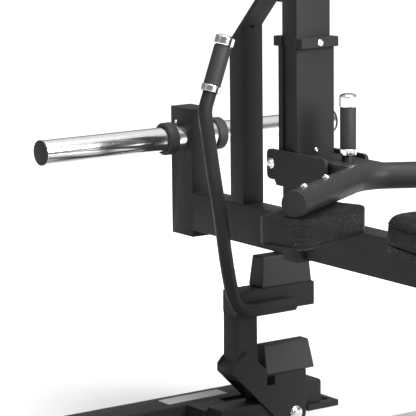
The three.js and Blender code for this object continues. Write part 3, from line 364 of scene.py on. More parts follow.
# %% Chrome
def bright_chrome():
    """Polished chrome with a slight haze."""
    material, tree, shader = new_material("bright_chrome")
    place = object_coordinates(tree)
    shader.inputs["Metallic"].default_value = 1.0
    haze = noise(tree, place, scale=45.0, detail=5.0)
    ripple = noise(tree, place, scale=220.0, detail=2.0)
    colour = blend_colours(tree, haze, (0.80, 0.80, 0.81), (0.88, 0.88, 0.885))
    dress(tree, shader, colour, spread(tree, haze, low=0.15, high=0.17))
    bump(tree, shader, ripple, strength=0.005, distance=0.0001)
    return material


# %% Rubber, leather and the tread's paint
def bumper_rubber():
    """Matt moulded rubber with a fine speckle."""
    material, tree, shader = new_material("bumper_rubber")
    place = object_coordinates(tree)
    speckle = noise(tree, place, scale=350.0, detail=4.0)
    colour = blend_colours(tree, speckle, (0.014, 0.014, 0.0145), (0.024, 0.024, 0.0245))
    dress(tree, shader, colour, spread(tree, speckle, low=0.55, high=0.72), specular=0.35)
    bump(tree, shader, speckle, strength=0.15, distance=0.0003)
    return material


def grip_rubber():
    """Foamed rubber with open pores."""
    material, tree, shader = new_material("grip_rubber")
    place = object_coordinates(tree)
    pores = add_node(tree, "ShaderNodeTexVoronoi")
    pores.inputs["Scale"].default_value = 700.0
    tree.links.new(place, pores.inputs["Vector"])
    cloud = noise(tree, place, scale=120.0)
    colour = blend_colours(tree, cloud, (0.010, 0.010, 0.0103), (0.018, 0.018, 0.0183))
    dress(tree, shader, colour, specular=0.4)
    shader.inputs["Roughness"].default_value = 0.62
    bump(tree, shader, pores.outputs["Distance"], strength=0.25, distance=0.0004)
    return material


def pad_leather():
    """Leather: small cells of grain with creased borders painted dark as shade, over a slow variation
    of gloss.
    """
    material, tree, shader = new_material("pad_leather")
    place = object_coordinates(tree)
    grain = add_node(tree, "ShaderNodeTexVoronoi", feature="DISTANCE_TO_EDGE")
    grain.inputs["Scale"].default_value = 290.0
    tree.links.new(place, grain.inputs["Vector"])
    creases = spread(
        tree, grain.outputs["Distance"], low=0.0, high=1.0, from_low=0.0, from_high=0.25)
    gloss = spread(tree, noise(tree, place, scale=25.0), low=0.30, high=0.38)
    # The creases are painted near black against the cells: painted shade in the grain, beside the
    # relief.
    colour = blend_colours(tree, creases, (0.001, 0.001, 0.0011), (0.012, 0.012, 0.0123))
    dress(tree, shader, colour, gloss, specular=0.18)
    bump(tree, shader, creases, strength=1.0, distance=0.0016)
    return material


def tread_coat():
    """Grey paint with a fine grit, for the foot tread and the bare plate."""
    material, tree, shader = new_material("tread_coat")
    place = object_coordinates(tree)
    grit = noise(tree, place, scale=700.0)
    colour = blend_colours(tree, grit, (0.28, 0.282, 0.285), (0.36, 0.362, 0.365))
    dress(tree, shader, colour)
    shader.inputs["Roughness"].default_value = 0.7
    bump(tree, shader, grit, strength=0.3, distance=0.0004)
    return material


finishes = {
    "frame_coat": satin_black("powder_coat", COAT_COLOURS, (9.0, 4.0), (60.0, 0.50), (900.0, 0.10)),
    "bright_chrome": bright_chrome(),
    "bumper_rubber": bumper_rubber(),
    "grip_rubber": grip_rubber(),
    "black_plastic": satin_black(
        "black_plastic", PLASTIC_COLOURS, (30.0, 3.0), (200.0, 0.52), (600.0, 0.06)),
    "pad_leather": pad_leather(),
    "tread_coat": tread_coat(),
}
slot_of = {entry["node"]: entry["material_slot"] for entry in frame["record"]["subparts"]}


# %% [markdown]
# ## Steel with rolled edges
# The CAD tubes and plates have knife edges. Real tube is rolled, and real plate is deburred, and at
# this distance that shows as a thin light line along every edge. A merged copy of each steel node
# gets a bevel: wide along the length of a tube, narrow at its cut ends, and the copy stands for the
# node. The seat board, the tread and the pivot shaft get the narrow one too.

# %% Copies of the steel nodes
TUBE_CORNER = 0.0022
PLATE_EDGE = 0.0008
TUBE_CORNER_STEPS = 3
PLATE_EDGE_STEPS = 2
COPLANAR_ANGLE = math.radians(1)
CORNER_ANGLE = math.radians(24)
SHARP_ANGLE = math.radians(32)
SAME_DIRECTION = 0.99
SAME_CAD_POINT = 1e-6


def merged_copy(node, name):
    """The node's mesh with its loose triangles joined and its flat faces made whole."""
    mesh = nodes[node].data.copy()
    mesh.name = name
    work = bmesh.new()
    work.from_mesh(mesh)
    bmesh.ops.remove_doubles(work, verts=work.verts, dist=SAME_CAD_POINT)
    bmesh.ops.dissolve_limit(
        work, angle_limit=COPLANAR_ANGLE, verts=work.verts, edges=work.edges)
    work.to_mesh(mesh)
    work.free()
    mesh.materials.clear()
    return mesh


def settle(mesh):
    """Smooth shading with every edge sharper than SHARP_ANGLE kept crisp."""
    mesh.shade_smooth()
    mesh.set_sharp_from_angle(angle=SHARP_ANGLE)


def fit(thing, slot, body, stands_for=()):
    """A finished piece gets its finish, its body and the nodes it stands for."""
    thing.data.materials.clear()
    thing.data.materials.append(finishes[slot])
    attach(thing, body)
    if stands_for:
        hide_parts(*stands_for)
    return thing


def bevelled(node, long_axis=None, edge=PLATE_EDGE, edge_steps=PLATE_EDGE_STEPS):
    """A copy of the node with rolled edges along long_axis and fine edges elsewhere."""
    mesh = merged_copy(node, node + "_piece")
    work = bmesh.new()
    work.from_mesh(mesh)
    rolled = []
    if long_axis is not None:
        for side_edge in work.edges:
            run = (side_edge.verts[1].co - side_edge.verts[0].co).normalized()
            is_corner = side_edge.is_manifold and side_edge.calc_face_angle(0) > CORNER_ANGLE
            if is_corner and side_edge.is_convex and abs(run[long_axis]) > SAME_DIRECTION:
                rolled.append(side_edge)
    if rolled:
        bmesh.ops.bevel(
            work, geom=rolled, offset=TUBE_CORNER, offset_type="OFFSET",
            segments=TUBE_CORNER_STEPS, profile=0.5, affect="EDGES", clamp_overlap=True,
        )
    work.to_mesh(mesh)
    work.free()
    thing = make_object(node + "_piece", mesh)
    bevel = thing.modifiers.new("edges", "BEVEL")
    bevel.width = edge
    bevel.segments = edge_steps
    bevel.limit_method = "ANGLE"
    bevel.angle_limit = SHARP_ANGLE
    bevel.use_clamp_overlap = True
    settle(mesh)
    return fit(thing, slot_of[node], body_of[node], [node])


X_AXIS, Y_AXIS, Z_AXIS = 0, 1, 2
steel_runs = {
    "weight_post": Z_AXIS,
    "lever_front_tube": X_AXIS,
    "lever_rear_tube": X_AXIS,
    "brace_tube": Z_AXIS,
    "top_link": X_AXIS,
    "upright_post": Z_AXIS,
    "lever_stop": X_AXIS,
    "catch_post": Z_AXIS,
    "catch_crossbar": Y_AXIS,
    "catch_mount": Y_AXIS,
    "front_beam": Y_AXIS,
    "rear_beam": Y_AXIS,
    "base_spine": X_AXIS,
    "foot_tube": Y_AXIS,
    "seat_post": Z_AXIS,
}
fine_edged = [
    "brace_plate", "shell_front", "shell_rear", "collar_front", "collar_rear",
    "bracket_plate_left", "bracket_plate_right", "carriage_neck", "swing_plate_front",
    "swing_plate_rear", "catch_mount_box", "front_anchor_left", "front_anchor_right",
    "rear_anchor_left", "rear_anchor_right", "pivot_plate_left", "pivot_plate_right",
    "pivot_sleeve", "seat_board", "foot_tread", "pivot_shaft",
]
for node, run in steel_runs.items():
    bevelled(node, run)
for node in fine_edged:
    bevelled(node)
print("pieces with worked edges:", len(steel_runs) + len(fine_edged))


# %% [markdown]
# ## Surfaces from arrays
# Round pieces are worked out as arrays. A turned piece is a profile of radii and heights spun round
# an axis; a swept piece is a circle carried along a path. Poles and seams are closed by merging the
# points that fall together, and the normals are then turned outwards.

# %% Array surfaces
SAME_POINT = 1e-7


def surface(name, points, closed_rows=False):
    """A mesh from a grid of points, rows x columns x 3, whose columns run round and close."""
    rows, columns = points.shape[:2]
    index = np.arange(rows * columns).reshape(rows, columns)
    if closed_rows:
        index = np.vstack([index, index[:1]])
    here, across = index[:-1], np.roll(index, -1, axis=1)[:-1]
    there, beyond = index[1:], np.roll(index, -1, axis=1)[1:]
    quads = np.stack([here, across, beyond, there], axis=-1).reshape(-1, 4)
    mesh = bpy.data.meshes.new(name)
    mesh.from_pydata(points.reshape(-1, 3).tolist(), [], quads.tolist())
    work = bmesh.new()
    work.from_mesh(mesh)
    bmesh.ops.remove_doubles(work, verts=work.verts, dist=SAME_POINT)
    bmesh.ops.dissolve_degenerate(work, edges=work.edges, dist=SAME_POINT)
    bmesh.ops.recalc_face_normals(work, faces=work.faces)
    work.to_mesh(mesh)
    work.free()
    settle(mesh)
    return make_object(name, mesh)


def axis_frame(axis):
    """Two unit vectors square to an axis and to each other."""
    axis = np.array(axis, float) / np.linalg.norm(axis)
    helper = np.array((0.0, 0.0, 1.0)) if abs(axis[2]) < 0.9 else np.array((1.0, 0.0, 0.0))
    side = np.cross(axis, helper)
    side /= np.linalg.norm(side)
    return axis, side, np.cross(axis, side)


def turned(name, profile, place, axis, around=64):
    """Each profile point (r, h) becomes a circle on the axis: place + h axis + r (cos a, sin a)."""
    profile = np.array(profile, float)
    axis, side, other = axis_frame(axis)
    angle = np.linspace(0, 2 * np.pi, around, endpoint=False)
    ring = np.cos(angle)[:, None] * side + np.sin(angle)[:, None] * other
    points = profile[:, 0, None, None] * ring[None] + profile[:, 1, None, None] * axis
    return surface(name, points + np.array(place, float))


def rounded(profile, radius, steps=4):
    """The profile with each inner corner p cut back by radius and rounded by a quadratic curve.

    The curve runs from entry to leave: (1 - t)^2 entry + 2 t (1 - t) p + t^2 leave.
    """
    profile = [np.array(p, float) for p in profile]
    made = [profile[0]]
    for before, here, after in zip(profile[:-2], profile[1:-1], profile[2:]):
        to_before, to_after = before - here, after - here
        reach = min(radius, np.linalg.norm(to_before) / 2, np.linalg.norm(to_after) / 2)
        entry = here + to_before / np.linalg.norm(to_before) * reach
        leave = here + to_after / np.linalg.norm(to_after) * reach
        share = np.linspace(0, 1, steps + 1)[:, None]
        made.extend(
            (1 - share) ** 2 * entry + 2 * share * (1 - share) * here + share**2 * leave)
    made.append(profile[-1])
    return made


def band_profile(inner, outer, start, end):
    """A closed rectangle between two radii and two heights."""
    return [(inner, start), (outer, start), (outer, end), (inner, end), (inner, start)]


def swept(name, path, radius, around=40):
    """A circle of side vectors u and v carried along a path: path + radius (u cos a + v sin a).

    It is kept from twisting by carrying its first side vector along.
    """
    path = np.array(path, float)
    tangent = np.gradient(path, axis=0)
    tangent /= np.linalg.norm(tangent, axis=1)[:, None]
    side = np.empty_like(path)
    side[0] = axis_frame(tangent[0])[1]
    for row in range(1, len(path)):
        carried = side[row - 1] - tangent[row] * (side[row - 1] @ tangent[row])
        side[row] = carried / np.linalg.norm(carried)
    other = np.cross(tangent, side)
    angle = np.linspace(0, 2 * np.pi, around, endpoint=False)
    cosine, sine = np.cos(angle)[None, :, None], np.sin(angle)[None, :, None]
    points = path[:, None] + radius * (cosine * side[:, None] + sine * other[:, None])
    closed = np.concatenate([np.broadcast_to(path[0], (1, around, 3)), points,
                             np.broadcast_to(path[-1], (1, around, 3))])
    return surface(name, closed)


# %% [markdown]
# ## Weight horn
# A hard chromed tube through the weight post, with a chrome hub and a rubber ring on each side that
# the plates rest against, and a plastic plug in each end.

# %% The horn
BACKWARD, LEFTWARD, RIGHTWARD, UPWARD = (1, 0, 0), (0, -1, 0), (0, 1, 0), (0, 0, 1)
HORN_WALL = 0.004
HORN_EDGE = 0.0008
HUB_EDGE = 0.0006
HORN_RING_EDGE = 0.004
PLUG_EDGE = 0.0022
FIT_GAP = 0.0003
HORN_STEPS = 96
horn_radius = (horn_high.z - horn_low.z) / 2
horn_half = (horn_high.y - horn_low.y) / 2
horn = turned(
    "horn_tube_piece",
    rounded([
        (horn_radius - HORN_WALL, -horn_half),
        (horn_radius, -horn_half),
        (horn_radius, horn_half),
        (horn_radius - HORN_WALL, horn_half),
    ], HORN_EDGE),
    horn_axis, RIGHTWARD, HORN_STEPS,
)
fit(horn, "bright_chrome", "lever", ["horn_tube"])


def side_of(node):
    """-1 for a node on the user's left, 1 on the right."""
    low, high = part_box(node)
    return 1 if low.y + high.y > 0 else -1


def turned_for(node, profile_of, slot, edge):
    """A turned piece on the horn's axis that fills the box of its node.

    profile_of makes the profile from a radius and the distances where it starts and ends.
    """
    low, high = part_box(node)
    radius = (high.z - low.z) / 2
    side = side_of(node)
    start, end = sorted((abs(low.y), abs(high.y)))
    profile = rounded(profile_of(radius, start, end), edge)
    foot = (horn_axis.x, 0, horn_axis.z)
    piece = turned(node + "_piece", profile, foot, (0, side, 0), HORN_STEPS)
    return fit(piece, slot, body_of[node], [node])


def ring_profile(radius, start, end):
    return band_profile(horn_radius + FIT_GAP, radius, start, end)


def plug_profile(radius, start, end):
    spigot = horn_radius - HORN_WALL - FIT_GAP
    face = horn_half + FIT_GAP
    return [(0, start), (spigot, start), (spigot, face), (radius, face), (radius, end), (0, end)]


for side in ("left", "right"):
    turned_for("horn_flange_" + side, ring_profile, "bright_chrome", HUB_EDGE)
    turned_for("horn_ring_" + side, ring_profile, "bumper_rubber", HORN_RING_EDGE)
    turned_for("horn_plug_" + side, plug_profile, "black_plastic", PLUG_EDGE)

# %% [markdown]
# ## V bar and handle
# Both are bent round tubes. The V bar is two straight arms joined by an arc. The long handle
# follows a smooth curve through a table of points that another program solved from places read in
# the photograph. It should be straights and arcs worked out from a few sizes, and isn't.

# %% The V bar
bar_low, bar_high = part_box("v_bar")
BAR_SWEEP = math.radians(30)
BAR_BEND_RADIUS = 0.090
BAR_APEX_FROM_HORN = 0.5666
BAR_ARM_LENGTH = 0.323
ARC_POINTS = 25
ARM_POINTS = 12
BAR_STEPS = 64
bar_radius = (bar_high.z - bar_low.z) / 2
bar_height = (bar_high.z + bar_low.z) / 2
bar_apex = np.array((horn_axis.x + BAR_APEX_FROM_HORN, 0, bar_height))


def arm_direction(side):
    """The unit vector outwards along an arm; side is -1 on the left and 1 on the right."""
    return np.array((math.sin(BAR_SWEEP), side * math.cos(BAR_SWEEP), 0))


def on_arm(side, distance):
    """The point of an arm's centre line at a distance from where the two lines meet."""
    return bar_apex + distance * arm_direction(side)


def v_bar_path():
    """Left arm, an arc whose ends touch both arms, right arm.

    The arc is centre + R (-cos a, sin a), and each arm starts R tan(sweep) from the apex.
    """
    tangent_length = BAR_BEND_RADIUS * math.tan(BAR_SWEEP)
    centre = bar_apex + np.array((BAR_BEND_RADIUS / math.cos(BAR_SWEEP), 0, 0))
    angle = np.linspace(-BAR_SWEEP, BAR_SWEEP, ARC_POINTS)
    arc = centre + BAR_BEND_RADIUS * np.stack([-np.cos(angle), np.sin(angle), 0 * angle], axis=1)
    along = np.linspace(BAR_ARM_LENGTH, tangent_length, ARM_POINTS, endpoint=False)[:, None]
    left_arm = bar_apex + along * arm_direction(-1)
    right_arm = bar_apex + along[::-1] * arm_direction(1)
    return np.concatenate([left_arm, arc, right_arm])


v_bar = swept("v_bar_piece", v_bar_path(), bar_radius, BAR_STEPS)
fit(v_bar, "frame_coat", "carriage", ["v_bar"])

BAR_PLUG_THICKNESS = 0.005
BAR_PLUG_CROWN = 0.0006
bar_plug_profile = rounded([
    (0, FIT_GAP),
    (bar_radius, FIT_GAP),
    (bar_radius, BAR_PLUG_THICKNESS),
    (0, BAR_PLUG_THICKNESS + BAR_PLUG_CROWN),
], PLUG_EDGE)
for side, node in ((-1, "v_bar_plug_left"), (1, "v_bar_plug_right")):
    plug = turned(
        node + "_piece", bar_plug_profile, on_arm(side, BAR_ARM_LENGTH), arm_direction(side))
    fit(plug, "black_plastic", "carriage", [node])

# %% The long handle
HANDLE_RADIUS = 0.014
HANDLE_DROP = 0.0015
crossbar_low, crossbar_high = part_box("catch_crossbar")
handle_foot_x = crossbar_high.x + HANDLE_RADIUS + FIT_GAP
handle_foot_height = crossbar_low.z + HANDLE_RADIUS - HANDLE_DROP
HANDLE_LEAN, HANDLE_REACH, HANDLE_RISE = 0.042, 0.1386, 0.4695
HANDLE_RIGHT_END = 0.1075
HANDLE_ROUTE_SHARES = [
    (0, -0.157, 0), (0, 0.022, 0.001), (0, 0.168, 0.017), (0.005, 0.264, 0.042),
    (0.023, 0.333, 0.081), (0.062, 0.376, 0.115), (0.222, 0.468, 0.2), (0.415, 0.56, 0.294),
    (0.694, 0.688, 0.442), (0.945, 0.848, 0.626), (1, 0.955, 0.803), (1, 0.996, 0.883),
    (1, 1, 0.911), (1, 0.985, 0.932),
]
HANDLE_GRIP_REACH = 0.1248
GRIP_TILT = math.radians(20.3)
GRIP_LEAN = np.array((0, math.sin(GRIP_TILT), math.cos(GRIP_TILT)))
RING_LENGTH = 0.013
RUBBER_LENGTH = 0.0813
CAP_LENGTH = 0.022
POINTS_PER_SPAN = 12
GRIP_POINTS = 6


def smooth_route(points):
    """A centripetal Catmull-Rom curve through the points.

    The knots t grow by the square root of each distance, and each point of the curve is blended
    from four neighbours by shares such as (t1 - t) / (t1 - t0) and (t - t0) / (t1 - t0).
    """
    points = np.array(points, float)
    padded_points = np.vstack([2 * points[0] - points[1], points, 2 * points[-1] - points[-2]])
    distances = np.linalg.norm(np.diff(padded_points, axis=0), axis=1)
    knots = np.concatenate([[0], np.cumsum(distances ** 0.5)])
    made = []
    for k in range(1, len(padded_points) - 2):
        p = padded_points[k - 1:k + 3]
        t0, t1, t2, t3 = knots[k - 1:k + 3]
        t = np.linspace(t1, t2, POINTS_PER_SPAN, endpoint=False)[:, None]
        a1 = (t1 - t) / (t1 - t0) * p[0] + (t - t0) / (t1 - t0) * p[1]
        a2 = (t2 - t) / (t2 - t1) * p[1] + (t - t1) / (t2 - t1) * p[2]
        a3 = (t3 - t) / (t3 - t2) * p[2] + (t - t2) / (t3 - t2) * p[3]
        b1 = (t2 - t) / (t2 - t0) * a1 + (t - t0) / (t2 - t0) * a2
        b2 = (t3 - t) / (t3 - t1) * a2 + (t - t1) / (t3 - t1) * a3
        made.append((t2 - t) / (t2 - t1) * b1 + (t - t1) / (t2 - t1) * b2)
    return np.vstack([*made, padded_points[-2:-1]])


handle_origin = np.array((handle_foot_x, 0, handle_foot_height))
ring_place = handle_origin + (HANDLE_LEAN, -HANDLE_GRIP_REACH, HANDLE_RISE)
route = [handle_origin + (0, HANDLE_RIGHT_END, 0)]
for lean, reach, rise in HANDLE_ROUTE_SHARES:
    step = (lean * HANDLE_LEAN, -reach * HANDLE_REACH, rise * HANDLE_RISE)
    route.append(handle_origin + step)
route.append(ring_place - 2 * RING_LENGTH * GRIP_LEAN)
grip_end = RING_LENGTH / 2 + RUBBER_LENGTH
straight = [ring_place + GRIP_LEAN * s for s in np.linspace(-RING_LENGTH, grip_end, GRIP_POINTS)]
handle_path = np.vstack([smooth_route(route), straight])
handle = swept("handle_tube_piece", handle_path, HANDLE_RADIUS)
fit(handle, "frame_coat", "catch", ["handle_tube"])

# %% [markdown]
# ## Grips
# Both handles end alike: a chrome ring, a fine rubber sleeve and a domed chrome cap.

# %% Rings, sleeves and caps
SLEEVE_SETBACK = 0.0006
RING_EDGE = 0.0009
SLEEVE_EDGE = 0.0012
CAP_EDGE = 0.003
CAP_EDGE_STEPS = 6
CAP_DOME = 0.004
CAP_SHOULDER_SHARE, CAP_SHOULDER_DROP_SHARE = 0.62, 0.25


def grip_set(prefix, place, axis, radii, ring, rubber, cap, body):
    """Chrome ring, rubber sleeve and chrome cap stacked along an axis from a place.

    radii are those of the bore, the ring and the sleeve; the other spans are (start, end).
    """
    place, axis = np.array(place, float), np.array(axis, float)
    bore, ring_radius, sleeve_radius = radii
    band = rounded(band_profile(bore, ring_radius, *ring), RING_EDGE)
    ring_piece = turned(prefix + "_ring_piece", band, place, axis)
    fit(ring_piece, "bright_chrome", body, [prefix + "_ring"])
    sleeve_start, sleeve_end = rubber[0] + SLEEVE_SETBACK, rubber[1] - SLEEVE_SETBACK
    sleeve = rounded(band_profile(bore, sleeve_radius, sleeve_start, sleeve_end), SLEEVE_EDGE)
    rubber_piece = turned(prefix + "_rubber_piece", sleeve, place, axis)
    fit(rubber_piece, "grip_rubber", body, [prefix + "_rubber"])
    dome = rounded([
        (0, cap[0]),
        (ring_radius, cap[0]),
        (ring_radius, cap[1] - CAP_DOME),
        (ring_radius * CAP_SHOULDER_SHARE, cap[1] - CAP_DOME * CAP_SHOULDER_DROP_SHARE),
        (0, cap[1]),
    ], CAP_EDGE, CAP_EDGE_STEPS)
    cap_piece = turned(prefix + "_cap_piece", dome, place, axis)
    fit(cap_piece, "bright_chrome", body, [prefix + "_cap"])


HANDLE_RING_RADIUS, HANDLE_SLEEVE_RADIUS = 0.020, 0.0175
half_ring = RING_LENGTH / 2
cap_start = grip_end + FIT_GAP
grip_set(
    "handle", ring_place, GRIP_LEAN,
    (HANDLE_RADIUS + FIT_GAP, HANDLE_RING_RADIUS, HANDLE_SLEEVE_RADIUS),
    (-half_ring, half_ring), (half_ring, grip_end), (cap_start, cap_start + CAP_LENGTH), "catch",
)

GRIP_BORE_RADIUS, GRIP_RING_RADIUS, GRIP_SLEEVE_RADIUS = 0.0123, 0.0165, 0.0155
ring_low, ring_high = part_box("grip_ring")
cap_low, cap_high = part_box("grip_cap")
short_grip_foot = ((ring_low.x + ring_high.x) / 2, (ring_low.y + ring_high.y) / 2, 0)
grip_set(
    "grip", short_grip_foot, UPWARD,
    (GRIP_BORE_RADIUS, GRIP_RING_RADIUS, GRIP_SLEEVE_RADIUS),
    (ring_low.z, ring_high.z), (ring_high.z, cap_low.z), (cap_low.z, cap_high.z), "carriage",
)


# %% [markdown]
# ## Fasteners
# Chrome button heads hold the pads to the arms, the collar and the rear shell, and a bolt with a
# washer under each head clamps the bracket plates. A button head is a low dome with a round socket.

# %% Button heads
WASHER_THICKNESS = 0.0016
SCREW_EDGE = 0.0006
SCREW_STEPS = 48
RIM_SHARE, SHOULDER_SHARE, SHOULDER_RADIUS_SHARE = 0.45, 0.9, 0.75
SOCKET_WALL_SHARE, SOCKET_FOOT_SHARE, SOCKET_FLOOR_SHARE = 0.92, 0.35, 0.3


def socket_screw(name, place, axis, body, radius, height, socket_share=0.45, washer=0.0):
    """A dome whose middle drops into a socket; washer adds a flat ring of that width."""
    base = WASHER_THICKNESS if washer else 0.0
    rim = radius + washer
    profile = [(0, 0), (rim, 0)]
    if washer:
        profile += [(rim, base), (radius, base)]
    socket = radius * socket_share
    profile += [
        (radius, base + height * RIM_SHARE),
        (radius * SHOULDER_RADIUS_SHARE, base + height * SHOULDER_SHARE),
        (socket, base + height),
        (socket * SOCKET_WALL_SHARE, base + height * SOCKET_FOOT_SHARE),
        (0, base + height * SOCKET_FLOOR_SHARE),
    ]
    screw = turned(name, rounded(profile, SCREW_EDGE), place, axis, SCREW_STEPS)
    return fit(screw, "bright_chrome", body)


PAD_BOLT = {"radius": 0.0065, "height": 0.0055}
PAD_BOLT_SINK = 0.0008
INNER_BOLT, OUTER_BOLT = 0.178, 0.281
SHELL_SCREW = {"radius": 0.005, "height": 0.004}
SHELL_SCREW_HEIGHT = 0.633
COLLAR_SCREW = {"radius": 0.0067, "height": 0.0022, "socket_share": 0.3}
POST_SCREW = {"radius": 0.0035, "height": 0.0025}
POST_SCREW_SETBACK, POST_SCREW_HEIGHT = 0.019, 0.642
CLAMP_HEAD = {"radius": 0.007, "height": 0.005, "socket_share": 0.5, "washer": 0.0035}
SHANK_RADIUS = 0.0058
SHANK_EDGE = 0.0003

for side_name, side in (("left", -1), ("right", 1)):
    for place_name, distance in (("inner", INNER_BOLT), ("outer", OUTER_BOLT)):
        at = on_arm(side, distance) + np.array((0, 0, bar_radius - PAD_BOLT_SINK))
        socket_screw(f"pad_bolt_{side_name}_{place_name}", at, UPWARD, "carriage", **PAD_BOLT)

shell_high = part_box("shell_rear")[1]
shell_screw_place = (shell_high.x, 0, SHELL_SCREW_HEIGHT)
socket_screw("shell_screw", shell_screw_place, BACKWARD, "carriage", **SHELL_SCREW)
collar_low, collar_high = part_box("collar_rear")
collar_screw_place = (collar_high.x, 0, (collar_low.z + collar_high.z) / 2)
socket_screw("collar_screw", collar_screw_place, BACKWARD, "carriage", **COLLAR_SCREW)
post_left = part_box("weight_post")[0].y
post_screw_place = (horn_axis.x - POST_SCREW_SETBACK, post_left, POST_SCREW_HEIGHT)
socket_screw("post_screw", post_screw_place, LEFTWARD, "lever", **POST_SCREW)

# %% The clamp bolt
clamp_low, clamp_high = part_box("clamp_bolt")
clamp_place = (clamp_low + clamp_high) / 2
clamp_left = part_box("bracket_plate_left")[0].y
clamp_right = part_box("bracket_plate_right")[1].y
shank_profile = rounded([
    (0, clamp_left), (SHANK_RADIUS, clamp_left), (SHANK_RADIUS, clamp_right), (0, clamp_right),
], SHANK_EDGE)
shank_place = (clamp_place.x, 0, clamp_place.z)
shank = turned("clamp_shank", shank_profile, shank_place, RIGHTWARD, SCREW_STEPS)
fit(shank, "bright_chrome", "carriage", ["clamp_bolt"])
for name, y, axis in (("left", clamp_left, LEFTWARD), ("right", clamp_right, RIGHTWARD)):
    head_place = (clamp_place.x, y, clamp_place.z)
    socket_screw("clamp_head_" + name, head_place, axis, "carriage", **CLAMP_HEAD)

# %% The catch bolt
DOME_RADIUS = 0.016
NUT_RADIUS = 0.012
NUT_CHAMFER = 0.001
NUT_FACE_SHARE = 0.9
CATCH_SHANK_RADIUS = 0.008
DOME_RIM, DOME_SHOULDER, DOME_TOP = 0.0025, 0.0055, 0.0075
DOME_SHOULDER_SHARE, DOME_TOP_SHARE = 0.8, 0.45
CATCH_BOLT_EDGE = 0.0008
bolt_low, bolt_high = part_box("catch_bolt")
bolt_place = (bolt_low + bolt_high) / 2
plate_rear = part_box("swing_plate_rear")[1].x + FIT_GAP
plate_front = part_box("swing_plate_front")[0].x - FIT_GAP
bolt_profile = rounded([
    (0, bolt_low.x),
    (NUT_RADIUS * NUT_FACE_SHARE, bolt_low.x),
    (NUT_RADIUS, bolt_low.x + NUT_CHAMFER),
    (NUT_RADIUS, plate_front),
    (CATCH_SHANK_RADIUS, plate_front),
    (CATCH_SHANK_RADIUS, plate_rear),
    (DOME_RADIUS, plate_rear),
    (DOME_RADIUS, plate_rear + DOME_RIM),
    (DOME_RADIUS * DOME_SHOULDER_SHARE, plate_rear + DOME_SHOULDER),
    (DOME_RADIUS * DOME_TOP_SHARE, plate_rear + DOME_TOP),
    (0, bolt_high.x),
], CATCH_BOLT_EDGE)
bolt = turned("catch_bolt_piece", bolt_profile, (0, bolt_place.y, bolt_place.z), BACKWARD)
fit(bolt, "bright_chrome", "frame", ["catch_bolt"])


# %% [markdown]
# ## Rubber bumpers
# Moulded blocks with rounded edges. The merged copy of the node gets a wider bevel.

# %% Bumpers
BUMPER_EDGE = 0.0035
BUMPER_EDGE_STEPS = 4
for node in ("upper_bumper", "low_bumper"):
    bevelled(node, edge=BUMPER_EDGE, edge_steps=BUMPER_EDGE_STEPS)


# %% [markdown]
# ## Pads and seat
# Each cushion starts as a closed form a little smaller than its space: a rounded outline that
# rises, turns over an edge and runs in over a crown. Cloth with a light pressure then swells it by
# a few millimetres at most, and a welt is sewn round it afterwards.

# %% Cushion form
CUSHION_SLACK = 0.0015
SWELL_PRESSURE = 2.5
SWELL_FRAMES = 20
WELT_RADIUS = 0.0014
WELT_STEPS = 10
WELT_START_SCALE = 1.2
BACK_RINGS, SIDE_RINGS, EDGE_RINGS, FACE_RINGS = 6, 6, 7, 9


def outline(half_length, half_depth, corner, per_corner=10, per_side=14):
    """A rounded rectangle as a closed loop of (x, y): arcs of r (cos a, sin a), joined straight."""
    quarter = np.linspace(0, np.pi / 2, per_corner)
    arcs = []
    for turn_index, (sx, sy) in enumerate(((1, 1), (-1, 1), (-1, -1), (1, -1))):
        angle = quarter + turn_index * np.pi / 2
        arcs.append(np.stack([
            sx * (half_length - corner) + corner * np.cos(angle),
            sy * (half_depth - corner) + corner * np.sin(angle),
        ], axis=1))
    share = np.linspace(0, 1, per_side, endpoint=False)[1:, None]
    closed = []
    for index, arc in enumerate(arcs):
        next_start = arcs[(index + 1) % 4][0]
        closed.append(arc)
        closed.append(arc[-1] * (1 - share) + next_start * share)
    return np.vstack(closed)


def cushion_points(length, depth, thickness, corner, edge, crown):
    """Rings of the outline, each drawn in by an inset and lifted to a height.

    A flat back, straight sides, an edge of (e (1 - cos a), e sin a) and a face that runs in along
    crown * sin(s pi / 2).
    """
    half_length, half_depth = length / 2, depth / 2
    loop = outline(half_length, half_depth, corner)
    face_rim = thickness - crown
    back = [(half_depth * (1 - s), 0.0) for s in np.linspace(0, 1, BACK_RINGS)]
    sides = [(0.0, (face_rim - edge) * s) for s in np.linspace(0, 1, SIDE_RINGS)[1:]]
    turn_over = [
        (edge * (1 - math.cos(a)), face_rim - edge + edge * math.sin(a))
        for a in np.linspace(0, math.pi / 2, EDGE_RINGS)[1:]
    ]
    face = [
        (edge + (half_depth - edge) * s, face_rim + crown * math.sin(s * math.pi / 2))
        for s in np.linspace(0, 1, FACE_RINGS)[1:]
    ]
    rings = np.array(back + sides + turn_over + face)
    inset = rings[:, 0, None]
    shrink_x = (half_length - inset) / half_length
    shrink_y = (half_depth - inset) / half_depth
    spread_points = np.empty((len(rings), len(loop), 3))
    spread_points[:, :, 0] = loop[None, :, 0] * shrink_x
    spread_points[:, :, 1] = loop[None, :, 1] * shrink_y
    spread_points[:, :, 2] = rings[:, 1, None]
    last = np.tile([[0, 0, thickness]], (len(loop), 1))[None]
    first = np.tile([[0, 0, 0]], (len(loop), 1))[None]
    return np.concatenate([first, spread_points[1:-1], last])


def read_points(thing):
    points = np.empty(len(thing.data.vertices) * 3)
    thing.data.vertices.foreach_get("co", points)
    return points.reshape(-1, 3)


def write_points(thing, points):
    thing.data.vertices.foreach_set("co", points.ravel())
    thing.data.update()


